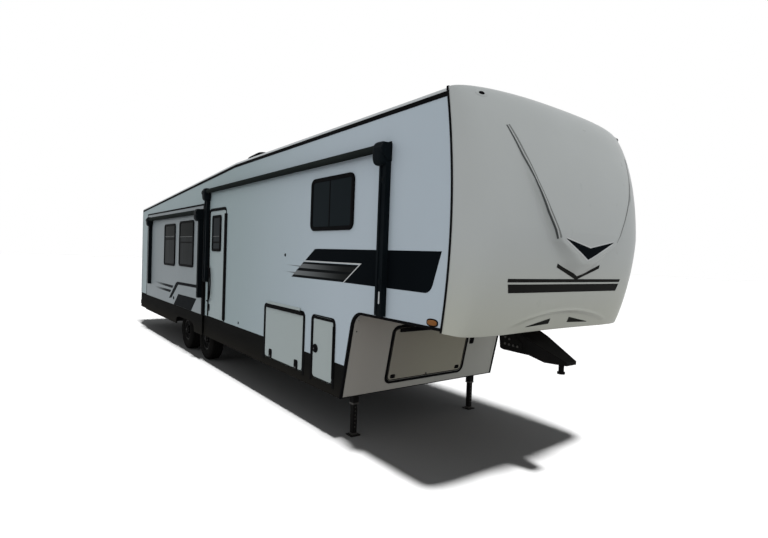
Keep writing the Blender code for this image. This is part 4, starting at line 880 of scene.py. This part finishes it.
noseParts = {
    "hatch": (-0.62, 0.60, 0.12, 0.77), "radius": 0.06, "gap": 0.007,
    "profile": [(0.001, -0.003), (0.001, 0.006), (0.029, 0.006), (0.032, 0.003), (0.032, -0.003)],
    "hinge": (-0.541, 0.521, 0.7235, 0.7635, 0.7750), "latches": [(-0.535, 0.175), (0.515, 0.175)],
    "key": (-0.01, 0.150), "socket": (0.70, 0.52, 0.036, 0.046), "rivets": [(-1.145, 0.89), (-1.145, 0.765)],
}


def buildNoseParts():
    y0, y1, z0, z1 = noseParts["hatch"]
    radius, gap = noseParts["radius"], noseParts["gap"]
    surround = frameOn(onSlope, roundedLoop(y0, y1, z0, z1, radius, 8), noseParts["profile"])
    put("nose_hatch_surround", surround, "trim_black")
    parts = [gasketOn(onSlope, (y0 + gap, y1 - gap, z0 + gap, z1 - gap), radius - gap, leafTrim["noseGasket"]),
             hingeCover(onSlope, *noseParts["hinge"])]
    for y, z in noseParts["latches"]:
        parts += [domeOn(onSlope, y, z, 0.034, 0.024, 0.015, 5.0),
                  domeOn(onSlope, y, z + 0.008, 0.022, 0.012, 0.021, 5.0)]
    put("nose_hatch_gasket", parts, "trim_black", "nose_hatch_leaf")
    key = domeOn(onSlope, *noseParts["key"], 0.012, 0.012, 0.010)
    put("nose_hatch_keyhole", key, "bright_metal", "nose_hatch_leaf")
    y, z, a, b = noseParts["socket"]
    socket = [domeOn(onSlope, y, z, a, b, 0.020, 6.0), domeOn(onSlope, y, z, a * 0.75, b * 0.75, 0.028, 5.0)]
    put("nose_socket", socket, "trim_black")
    rivets = [domeOn(onSlope, y, z, 0.008, 0.008, 0.004) for y, z in noseParts["rivets"]]
    put("nose_rivets", rivets, "steel_black_paint")


buildNoseParts()
print("nose wall parts done")


# Wheels

wheel = {
    "x": {"front": 5.03, "rear": 3.84}, "y": 1.02, "z": 0.39, "radius": 0.39, "half": 0.1175, "bead": 0.205,
    "around": 288, "treadHalf": 0.075, "treadSteps": 31, "treadDrop": 0.0035, "treadCurve": 0.9, "cutHalf": 0.098,
    "lugs": 72, "grooves": (-0.036, 0.0, 0.036), "grooveWidth": 0.005, "grooveDepth": 0.008, "slant": 26,
    "slotDepth": 0.005, "slotFrom": 0.044, "sipeDepth": 0.003, "sipeSpan": (0.006, 0.030),
    "nuts": 8, "nutCircle": 0.062, "nutRadius": 0.0105, "spokes": 8, "disc": (0.078, 0.1735), "discSteps": 26,
    "faceAround": 192, "faceThick": 0.004, "faceOut": 0.050, "dish": 0.016, "faceRise": 0.006,
    "pocketDepth": 0.020, "pocketShift": 0.10, "pocketEdge": 7, "pocketMiddle": 0.56, "pocketHalf": 0.30,
}
tyreWall = np.array([  # radius beyond the bead, and place along the axle from the inner or outer side
    (0.0, 0.030), (0.012, 0.018), (0.024, 0.006), (0.045, 0.002), (0.075, -0.0002), (0.105, 0.001), (0.118, 0.004),
    (0.122, 0.002), (0.130, 0.004), (0.150, 0.012), (0.166, 0.022), (0.174, 0.030)])
rimProfile = [(0.1755, 0.052), (0.1785, 0.060), (0.186, 0.084), (0.1925, 0.0885), (0.1985, 0.0895), (0.2030, 0.0875),
              (0.2045, 0.082)]
hubProfile = [(0.040, 0.099), (0.040, 0.112), (0.036, 0.1145), (0.020, 0.1160), (0.0001, 0.1165)]


def turned(radius, along, centre, turn):
    # points at a radius and a place along the axle, turned about it
    return xyz(centre[0] + radius * np.cos(turn), centre[1] + along, centre[2] + radius * np.sin(turn))


def tyreShape(centre):
    # the section runs bead to bead; the tread is cut by rings and by slanted slots that repeat round the tyre
    across = np.linspace(-wheel["treadHalf"], wheel["treadHalf"], wheel["treadSteps"])
    tread = np.stack([wheel["radius"] - wheel["treadDrop"] - wheel["treadCurve"] * across ** 2, across], -1)
    wall = tyreWall + [wheel["bead"], -wheel["half"]]
    section = np.concatenate([wall, tread, wall[::-1] * [1, -1]])
    turn = around(wheel["around"])
    radius, along = section[:, :1] + 0 * turn, section[:, 1:]
    reach = np.abs(along)
    on = reach < wheel["cutHalf"]
    for ring in wheel["grooves"]:
        radius -= wheel["grooveDepth"] * on * np.exp(-((along - ring) / wheel["grooveWidth"]) ** 4)
    phase = (turn / (2 * np.pi) * wheel["lugs"] + reach * wheel["slant"]) % 1.0
    start, end = wheel["sipeSpan"]
    radius -= wheel["slotDepth"] * (on & (phase < 0.25) & (reach > wheel["slotFrom"]))
    radius -= wheel["sipeDepth"] * (on & (phase > 0.5) & (phase < 0.75) & (reach <= end) & (reach > start))
    return sweep(turned(radius, along, centre, turn), closed=True)


def wheelFace(centre, side):
    # a dished disc: its depth follows the radius, and eight rounded pockets are pressed in between the spokes
    turn, (inner, outer) = around(wheel["faceAround"]), wheel["disc"]
    radius = np.linspace(inner, outer, wheel["discSteps"])[:, None]
    share = (radius - inner) / (outer - inner)
    between = 1 / (1 + np.exp((np.cos(turn * wheel["spokes"]) + wheel["pocketShift"]) * wheel["pocketEdge"]))
    pocket = between * np.exp(-((share - wheel["pocketMiddle"]) / wheel["pocketHalf"]) ** 6)
    height = wheel["faceOut"] - wheel["dish"] * np.sin(np.pi * share) + wheel["faceRise"] * share
    height = height - wheel["pocketDepth"] * pocket
    rim = np.array(rimProfile)
    front = np.concatenate([turned(radius, side * height, centre, turn),
                            turned(rim[:, :1], side * rim[:, 1:], centre, turn)])
    back = front[::-1] - [0, side * wheel["faceThick"], 0]
    return sweep(np.concatenate([front, back]), closed=True)


def hexNut(x, z, centre, side):
    # a six-sided nut with a domed end
    reach = wheel["nutRadius"]
    profile = np.array([(reach, 0.098), (reach, 0.110), (reach * 0.78, 0.1165), (reach * 0.4, 0.1185),
                        (0.0001, 0.119)])
    return sweep(turned(profile[:, :1], side * profile[:, 1:], (x, centre[1], z), around(6)))


def buildWheels():
    hub = np.array(hubProfile)
    for end, x in wheel["x"].items():
        for label, side in (("curb", -1), ("road", 1)):
            name = end + "_" + label
            body, centre = name + "_wheel", (x, side * wheel["y"], wheel["z"])
            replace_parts(put(name + "_tread", tyreShape(centre), "tyre_rubber", body), name + "_tyre")
            put(name + "_face", wheelFace(centre, side), "wheel_alloy_dark_painted_shade", body)
            turn = around(wheel["nuts"])[0]
            spots = zip(x + wheel["nutCircle"] * np.cos(turn), wheel["z"] + wheel["nutCircle"] * np.sin(turn))
            nuts = [hexNut(*spot, centre, side) for spot in spots]
            dome = sweep(turned(hub[:, :1], side * hub[:, 1:], centre, around(32)))
            put(name + "_nuts", nuts + [dome], "steel_black_paint", body)


buildWheels()
print("wheels done")


# Awnings

awnings = {
    "main": {"arms": ((5.29, 5.38), (10.515, 10.595)), "foot": 1.465, "z": 3.066, "root": -1.22, "reach": 0.065,
             "radius": 0.036, "body": "trailer", "slot": (1.585, 1.705), "flangeAt": 0},
    "slide": {"arms": ((1.14, 1.22), (5.04, 5.12)), "foot": 1.16, "z": 2.715, "root": -1.256, "reach": 0.072,
              "radius": 0.040, "body": "curb_room", "slot": (1.25, 1.33), "flangeAt": 1},
}
awningParts = {
    "wrap": 0.0015, "seam": 2.2, "plateDepth": 0.006, "headLength": 0.150, "headRise": 0.058, "headDrop": 0.165,
    "headOut": 0.062, "headLap": 0.004, "faceOut": 0.006, "ribInset": 0.007, "ribHalf": 0.006,
    "ribEnds": (0.015, 0.11),
    "ribProud": 0.004, "plateInset": 0.016, "plateHalf": 0.03, "platesUp": (0.04, 0.33), "plateDown": 0.30,
    "flangeHalf": 0.014, "flangeEnds": (0.01, 0.05), "flangeProud": 0.012, "boltRadius": 0.009, "slotHalf": 0.010,
    "railRise": 0.052, "rail": [(0.0, -0.010), (0.010, -0.010), (0.014, -0.004), (0.014, 0.006), (0.008, 0.012),
                                (0.0, 0.012)],
}


def rollerCover(awning):
    # the rolled fabric: a spiral whose radius steps out once a turn, and a slow sag along it
    turn = around(48)
    x = np.linspace(awning["arms"][0][1] + 0.012, awning["arms"][1][0] - 0.012, 90)[:, None]
    wraps = 0.6 + ((turn - awningParts["seam"]) % (2 * np.pi)) / (2 * np.pi)
    sag = 0.0007 * np.sin(x * 2.1) + 0.0004 * np.sin(x * 9.0 + 1.0)
    radius = awning["radius"] + awningParts["wrap"] * wraps + sag
    y = awning["root"] - awning["reach"] + radius * np.cos(turn)
    return sweep(xyz(x, y, awning["z"] + radius * np.sin(turn)))


def awningHead(x0, x1, awning):
    # a moulded head: rounded in section and rounded off at both ends, each along a superellipse
    share = np.sin(np.radians(np.linspace(-90, 90, 21)))[:, None]
    swell = (1 - np.abs(share) ** 5) ** 0.2
    across, up = squared(around(40), 3)
    out, back = awning["root"] - awning["reach"] - awningParts["headOut"], awning["root"] - awningParts["headLap"]
    rise, drop = awning["z"] + awningParts["headRise"], awning["z"] - awningParts["headDrop"]
    return sweep(xyz((x0 + x1) / 2 + (x1 - x0) / 2 * share, (out + back) / 2 + (back - out) / 2 * swell * across,
                     (rise + drop) / 2 + (rise - drop) / 2 * swell * up))


def buildAwningParts():
    shared = awningParts
    lap, ribHalf, flangeHalf, slotHalf = (shared[key] for key in ("headLap", "ribHalf", "flangeHalf", "slotHalf"))
    for name, awning in awnings.items():
        body, foot, top, arms = awning["body"], awning["foot"], awning["z"], awning["arms"]
        face = awning["root"] - awning["reach"] + shared["faceOut"]
        put(name + "_awning_roll", rollerCover(awning), "awning_fabric", body)

        def place(x, z, out, face=face):
            return xyz(x, face - out, z)

        parts, bolts = [], []
        for index, (start, end) in enumerate(arms):
            middle = (start + end) / 2
            low, high = foot + shared["ribEnds"][0], top - shared["ribEnds"][1]
            for x in (start + shared["ribInset"], end - shared["ribInset"]):
                parts.append(boxOn(place, x - ribHalf, x + ribHalf, low, high, shared["ribProud"]))
            inset, half, depth = shared["plateInset"], shared["plateHalf"], shared["plateDepth"]
            for z in (*(foot + up for up in shared["platesUp"]), top - shared["plateDown"]):
                parts.append(boxOn(place, start + inset, end - inset, z - half, z + half, depth, radius=0.01))
                bolts.append(studOn(place, middle, z, shared["boltRadius"], 0.004, depth, steps=6))
            inward = shared["headLength"] - (end - start)
            parts.append(awningHead(start - lap - inward * index, end + lap + inward * (1 - index), awning))
            x = (start, end)[awning["flangeAt"]]
            low, high = foot + shared["flangeEnds"][0], top - shared["flangeEnds"][1]
            parts.append(boxOn(place, x - flangeHalf, x + flangeHalf, low, high, shared["flangeProud"]))
        out, rise = np.array(shared["rail"]).T
        x = np.array([[arms[0][0]], [arms[1][1]]])
        parts.append(sweep(xyz(x, awning["root"] - out, top + shared["railRise"] + rise)))
        putFlat(name + "_awning_fittings", parts, "awning_black", body)
        put(name + "_awning_bolts", bolts, "steel_black_paint", body)
        middle = sum(arms[1]) / 2
        slot = boxOn(place, middle - slotHalf, middle + slotHalf, *awning["slot"], 0.0015, radius=0.0095)
        putFlat(name + "_awning_slot", slot, "anodised_silver", body)


buildAwningParts()
print("awnings done")


# Roof units, roof seams and vents

roofParts = {
    "conditioner": (3.6, 0.0, 0.475, 0.35, 0.275), "vent": (6.32, -0.62, 0.30, 0.225, 0.234), "flange": 0.012,
    "seams": [1.5, 4.9, 6.57, 8.6], "seamHalf": 1.17, "fans": [(2.2, 0.55), (8.2, 0.45), (9.9, -0.40)],
    "fanBase": 0.21, "fanLid": (0.19, 0.19, 0.075),
    "tape": [(-0.04, -0.002), (-0.03, 0.003), (0.0, 0.0045), (0.03, 0.003), (0.04, -0.002)],
}
shroud = {
    "around": 144, "foot": (0.004, 0.03, 0.035), "footShare": (1.0, 1.0, 0.985), "kerb": 0.036, "side": 0.62,
    "shoulder": 0.30, "draft": 0.12, "topSteps": 24, "topShare": 0.83, "topLevel": 0.935, "ribInner": 0.80,
    "ribDepth": 0.010, "ribReach": 0.55, "ribGap": 0.35,
}


def onRoof(along, across, up, x0, y0):
    # a point in the frame of the roof at a place: its tilt along and across follows the roof there
    tiltX = math.atan((roofEdge(x0 + 0.01) - roofEdge(x0 - 0.01)) / 0.02)
    tiltY = math.atan(-2 * cap["crown"] * y0 / (halfWidth - edges["edgeRadius"]) ** 2)
    x = x0 + along * math.cos(tiltX) - up * math.sin(tiltX)
    y = y0 + across * math.cos(tiltY) - up * math.sin(tiltY)
    rise = along * math.sin(tiltX) + across * math.sin(tiltY) + up * math.cos(tiltX) * math.cos(tiltY)
    return xyz(x, y, roofTop(x0, y0) + rise)


def roofShroud(x0, y0, a, b, height, power, ribs):
    # a moulded cover: superellipse in plan, rounded top edge, draft on its sides and pressed ribs across the top
    bend, foot = np.radians(np.linspace(0, 90, 10)), shroud["foot"][-1]
    share = np.concatenate([shroud["footShare"], shroud["footShare"][-1] - shroud["draft"] * (1 - np.cos(bend)),
                            np.linspace(shroud["topShare"], 0.0, shroud["topSteps"])])[:, None]
    rise = shroud["side"] + shroud["shoulder"] * np.sin(bend)
    level = np.concatenate([shroud["foot"], foot + (height - foot) * rise,
                            height * np.linspace(shroud["topLevel"], 1, shroud["topSteps"])])
    level[3] = shroud["kerb"]
    across, up = squared(around(shroud["around"]), power)
    along, across = a * share * across, b * share * up
    ribbed = (share < shroud["ribInner"]) & (np.abs(across) < b * shroud["ribReach"])
    groove = shroud["ribDepth"] * ribbed * (np.sin(along / a * np.pi * ribs) > shroud["ribGap"])
    return sweep(onRoof(along, across, level[:, None] - groove, x0, y0))


def buildRoofParts():
    conditioner, vent = roofParts["conditioner"], roofParts["vent"]
    unit = put("air_conditioner_shroud", roofShroud(*conditioner, 5.0, 9), "roof_unit_plastic")
    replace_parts(unit, "air_conditioner")
    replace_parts(put("vent_shroud", roofShroud(*vent, 6.0, 5), "trim_black"), "vent_cover")
    flanges, lids, seams = [], [], []
    for x0, y0, a, b, _ in (conditioner, vent):
        a, b = a + roofParts["flange"], b + roofParts["flange"]
        flanges.append(boxOn(partial(onRoof, x0=x0, y0=y0), -a, a, -b, b, 0.012, radius=0.05))
    half = roofParts["fanBase"]
    for x0, y0 in roofParts["fans"]:
        flanges.append(boxOn(partial(onRoof, x0=x0, y0=y0), -half, half, -half, half, 0.010, radius=0.03))
        lids.append(roofShroud(x0, y0, *roofParts["fanLid"], 7.0, 2.5))
    y = np.linspace(-roofParts["seamHalf"], roofParts["seamHalf"], 61)[:, None]
    across, rise = np.array(roofParts["tape"]).T
    for x0 in roofParts["seams"]:
        seams.append(sweep(xyz(x0 + across, y, roofTop(x0 + across, y) + rise)))
    putFlat("roof_flanges", flanges, "roof_membrane")
    put("roof_vent_lids", lids, "roof_unit_plastic")
    put("roof_seam_tape", seams, "roof_membrane")


buildRoofParts()
print("roof parts done")


# Rear wall and bumper

rearParts = {
    "lamps": [(-1.02, 0.67), (1.02, 0.67)], "lampBase": (0.0986, 0.0732, 0.010, 4.0),
    "lampLens": (0.085, 0.060, 0.022, 4.0), "markerZ": 2.905,
    "markerBase": (0.058, 0.024, 0.006, 2.6), "markerLens": (0.048, 0.016, 0.015, 2.6),
    "markers": (-0.30, 0.0, 0.30, -1.08, 1.08), "plate": (-0.775, -0.465, 0.615, 0.765),
    "plateLamp": (-0.62, 0.787, 0.05, 0.018, 0.026, 5.0),
    "porch": (0.0, 2.62, 0.09, 0.05, 0.03, 4.0), "strip": (-1.21, 1.21, 0.842, 0.870),
    "bumperEnd": (-0.139, -0.041, 0.551, 0.649), "capY": (1.175, 1.195, 1.202), "capGrow": (1.012, 1.012, 1.0),
}


def buildRearParts():
    bezels = [domeOn(onRear, *spot, *rearParts["lampBase"]) for spot in rearParts["lamps"]]
    lenses = [domeOn(onRear, *spot, *rearParts["lampLens"]) for spot in rearParts["lamps"]]
    for y in rearParts["markers"]:
        bezels.append(domeOn(onRear, y, rearParts["markerZ"], *rearParts["markerBase"]))
        lenses.append(domeOn(onRear, y, rearParts["markerZ"], *rearParts["markerLens"]))
    bezels.append(boxOn(onRear, *rearParts["plate"], 0.006, radius=0.012))
    bezels.append(domeOn(onRear, *rearParts["plateLamp"]))
    put("rear_porch_lamp", domeOn(onRear, *rearParts["porch"]), "light_bar_lens")
    put("rear_lamp_bezels", bezels, "trim_black")
    put("rear_lamp_lenses", lenses, "lens_red")
    x0, x1, z0, z1 = rearParts["bumperEnd"]
    middle = np.array([x0 + x1, z0 + z1]) / 2
    outline = roundedLoop(x0, x1, z0, z1, 0.012)[0] - middle
    x, z = np.moveaxis(middle + outline * np.array(rearParts["capGrow"])[:, None, None], -1, 0)
    caps = [sweep(xyz(x, side * np.array(rearParts["capY"])[:, None], z)) for side in (-1, 1)]
    put("bumper_caps", caps, "trim_black")
    putFlat("rear_skirt_strip", boxOn(onRear, *rearParts["strip"], 0.005), "trim_black")


buildRearParts()
print("rear parts done")


# Underbody, legs and pin box

under = {
    "linerX": (3.30, 5.62), "linerY": 0.72, "linerZ": (0.50, 0.815), "linerThick": 0.003, "linerRipple": (0.004, 60),
    "wellEnds": (3.33, 5.60), "wellOuter": 1.195, "wellThick": 0.004,
    "bellyX": (0.10, 7.68), "bellyHalf": 1.165, "bellyZ": (0.8125, 0.8160), "bellyRipple": (0.0012, 90),
}
pinBox = {
    "cheekX": (11.45, 11.822), "cheekY": (0.170, 0.078), "plateDepth": (0.007, -0.002), "bolt": (0.011, 0.009, 0.005),
    "plate": [(11.175, 1.400), (11.175, 1.195), (11.40, 1.185), (11.40, 1.255)],
    "bolts": [(11.20, 1.225), (11.25, 1.222), (11.30, 1.219), (11.35, 1.216), (11.20, 1.290), (11.25, 1.275),
              (11.20, 1.345)],
    "pinX": 11.72, "ring": [(0.056, 1.110), (0.056, 1.1005), (0.050, 1.0985), (0.030, 1.0985), (0.0262, 1.100),
                            (0.0262, 1.110)],
}
legs = {"y": 0.95, "x": 9.7225, "face": 9.75, "holes": (0.10, 0.34, 0.045), "stud": (0.008, 0.0018),
        "collars": ((0.360, 0.378, 0.0415), (0.012, 0.030, 0.034))}


def buildUnderbody():
    parts, (z0, z1) = [], under["linerZ"]
    x = np.linspace(*under["linerX"], 80)
    depth, pitch = under["linerRipple"]
    for side in (-1, 1):
        outer = xyz(x, side * under["linerY"] + depth * np.sin(x * pitch), [[z0], [z1]])
        parts.append(shellOf(outer, outer - [0, side * under["linerThick"], 0]))
        for end in under["wellEnds"]:
            span = side * np.array([under["linerY"], under["wellOuter"]])
            sheet = xyz(end, span, [[z0], [z1 - under["linerThick"]]])
            parts.append(shellOf(sheet, sheet + [under["wellThick"], 0, 0]))
    y = np.linspace(-under["bellyHalf"], under["bellyHalf"], 121)
    ends, (low, high), (depth, pitch) = np.array(under["bellyX"])[:, None], under["bellyZ"], under["bellyRipple"]
    parts.append(shellOf(xyz(ends, y, low + depth * np.sin(y * pitch)), xyz(ends, y, high)))
    put("underbody_liner", parts, "underbody_sheet")


def buildPinBoxParts():
    plates, bolts = [], []
    for side in (-1, 1):
        def place(x, z, out, side=side):
            return xyz(x, side * (np.interp(x, pinBox["cheekX"], pinBox["cheekY"]) + out), z)

        plates.append(plateOn(place, pinBox["plate"], *pinBox["plateDepth"]))
        bolts += [studOn(place, x, z, *pinBox["bolt"]) for x, z in pinBox["bolts"]]
    turn, ring = around(48), np.array(pinBox["ring"])
    radius, z = ring[:, :1], ring[:, 1:]
    plates.append(sweep(xyz(pinBox["pinX"] + radius * np.cos(turn), radius * np.sin(turn), z), closed=True))
    putFlat("pin_box_plates", plates, "steel_black_paint")
    put("pin_box_bolts", bolts, "steel_worn")


def buildLegParts():
    parts = []
    for y in (-legs["y"], legs["y"]):
        for z in np.arange(*legs["holes"]):
            parts.append(studOn(lambda y, z, out: xyz(legs["face"] + out, y, z), y, z, *legs["stud"]))
        for low, high, half in legs["collars"]:
            parts.append(boxOn(xyz, legs["x"] - half, legs["x"] + half, y - half, y + half, high - low, low, 0.006))
    put("leg_collars", parts, "steel_worn")


buildUnderbody()
buildPinBoxParts()
buildLegParts()
print("underbody, pin box and legs done")


# Studio

studio = {
    "camera": (14.318, -4.094, 2.043), "yaw": 141.86, "pitch": -1.78, "roll": 2.16,
    "focalPixels": 493.885, "centreU": 391.317, "centreV": 271.769, "frameWide": 768, "frameHigh": 538,
    "sensor": 36.0, "farthest": 300, "skyLow": 1.35, "skyHigh": 0.8, "skyRise": 0.6, "skyTint": (0.97, 0.99, 1.0),
    "sun": 30.0, "sunAngle": 6.0, "sunTurn": (3.0, 17.0), "floorSeen": 0.115, "floorPlain": 0.042, "floorHalf": 90.0,
}


def setCamera():
    # forward from yaw and pitch, then the frame turned about it by the roll
    yaw, pitch, roll = (math.radians(studio[key]) for key in ("yaw", "pitch", "roll"))
    forward = Vector((math.cos(yaw) * math.cos(pitch), math.sin(yaw) * math.cos(pitch), math.sin(pitch)))
    right = forward.cross(Vector((0, 0, 1))).normalized()
    up = right.cross(forward)
    across = right * math.cos(roll) + up * math.sin(roll)
    upright = up * math.cos(roll) - right * math.sin(roll)
    camera = bpy.data.cameras.new("camera")
    item = bpy.data.objects.new("camera", camera)
    bpy.context.scene.collection.objects.link(item)
    turn = Matrix((across, upright, -forward)).transposed().to_4x4()
    item.matrix_world = Matrix.Translation(Vector(studio["camera"]) + Vector(trailerOrigin)) @ turn
    camera.sensor_width = studio["sensor"]
    camera.lens = studio["focalPixels"] / studio["frameWide"] * studio["sensor"]
    camera.shift_x = (studio["frameWide"] / 2 - studio["centreU"]) / studio["frameWide"]
    camera.shift_y = (studio["centreV"] - studio["frameHigh"] / 2) / studio["frameWide"]
    camera.clip_end = studio["farthest"]
    bpy.context.scene.camera = item


def mixedForView(tree, plain, seen):
    # the second shader where the ray comes from the camera, or is a mirror or glass ray
    rays = added(tree, "LightPath", {})
    share = rays.outputs["Is Camera Ray"]
    for kind in ("Is Glossy Ray", "Is Transmission Ray"):
        share = added(tree, "Math", {0: share, 1: rays.outputs[kind]}, operation="MAXIMUM").outputs["Value"]
    return added(tree, "MixShader", {"Fac": share, 1: plain.outputs[0], 2: seen.outputs[0]}).outputs["Shader"]


def buildFloor():
    # a plain pale floor; to the camera its colour is lifted to white, and the shadow stays
    half = studio["floorHalf"]
    mesh = bpy.data.meshes.new("floor")
    mesh.from_pydata([(-half, -half, 0), (half, -half, 0), (half, half, 0), (-half, half, 0)], [], [(0, 1, 2, 3)])
    floor = bpy.data.objects.new("floor", mesh)
    bpy.context.scene.collection.objects.link(floor)
    material = bpy.data.materials.new("floor_pale")
    material.use_nodes = True
    tree = material.node_tree
    tree.nodes.clear()
    plain, seen = (added(tree, "BsdfDiffuse", {"Color": (*[studio[key]] * 3, 1)})
                   for key in ("floorPlain", "floorSeen"))
    added(tree, "OutputMaterial", {"Surface": mixedForView(tree, plain, seen)})
    mesh.materials.append(material)
    return floor


def buildLight(floor):
    # an even sky, brighter low down, lights the object; the camera and mirrors see white; a high lamp lights
    # the floor alone, for the shadow under the trailer
    world = bpy.data.worlds.new("world")
    bpy.context.scene.world = world
    world.use_nodes = True
    tree = world.node_tree
    tree.nodes.clear()
    rise = added(tree, "SeparateXYZ", {"Vector": added(tree, "TexCoord", {}).outputs["Generated"]}).outputs["Z"]
    strength = added(tree, "MapRange", {"Value": rise, "From Min": 0.0, "From Max": studio["skyRise"],
                                        "To Min": studio["skyLow"], "To Max": studio["skyHigh"]}).outputs["Result"]
    sky = added(tree, "Background", {"Strength": strength, "Color": (*studio["skyTint"], 1)})
    white = added(tree, "Background", {"Strength": 1.0, "Color": (1, 1, 1, 1)})
    added(tree, "OutputWorld", {"Surface": mixedForView(tree, sky, white)})
    sun = bpy.data.lights.new("soft_sun", "SUN")
    sun.energy = studio["sun"]
    sun.angle = math.radians(studio["sunAngle"])
    item = bpy.data.objects.new("soft_sun", sun)
    item.rotation_euler = (*(math.radians(turn) for turn in studio["sunTurn"]), 0)
    receivers = bpy.data.collections.new("lit_by_high_lamp")
    receivers.objects.link(floor)
    item.light_linking.receiver_collection = receivers
    bpy.context.scene.collection.objects.link(item)


setCamera()
buildLight(buildFloor())
bpy.context.scene.view_settings.view_transform = "Standard"
print("studio done")
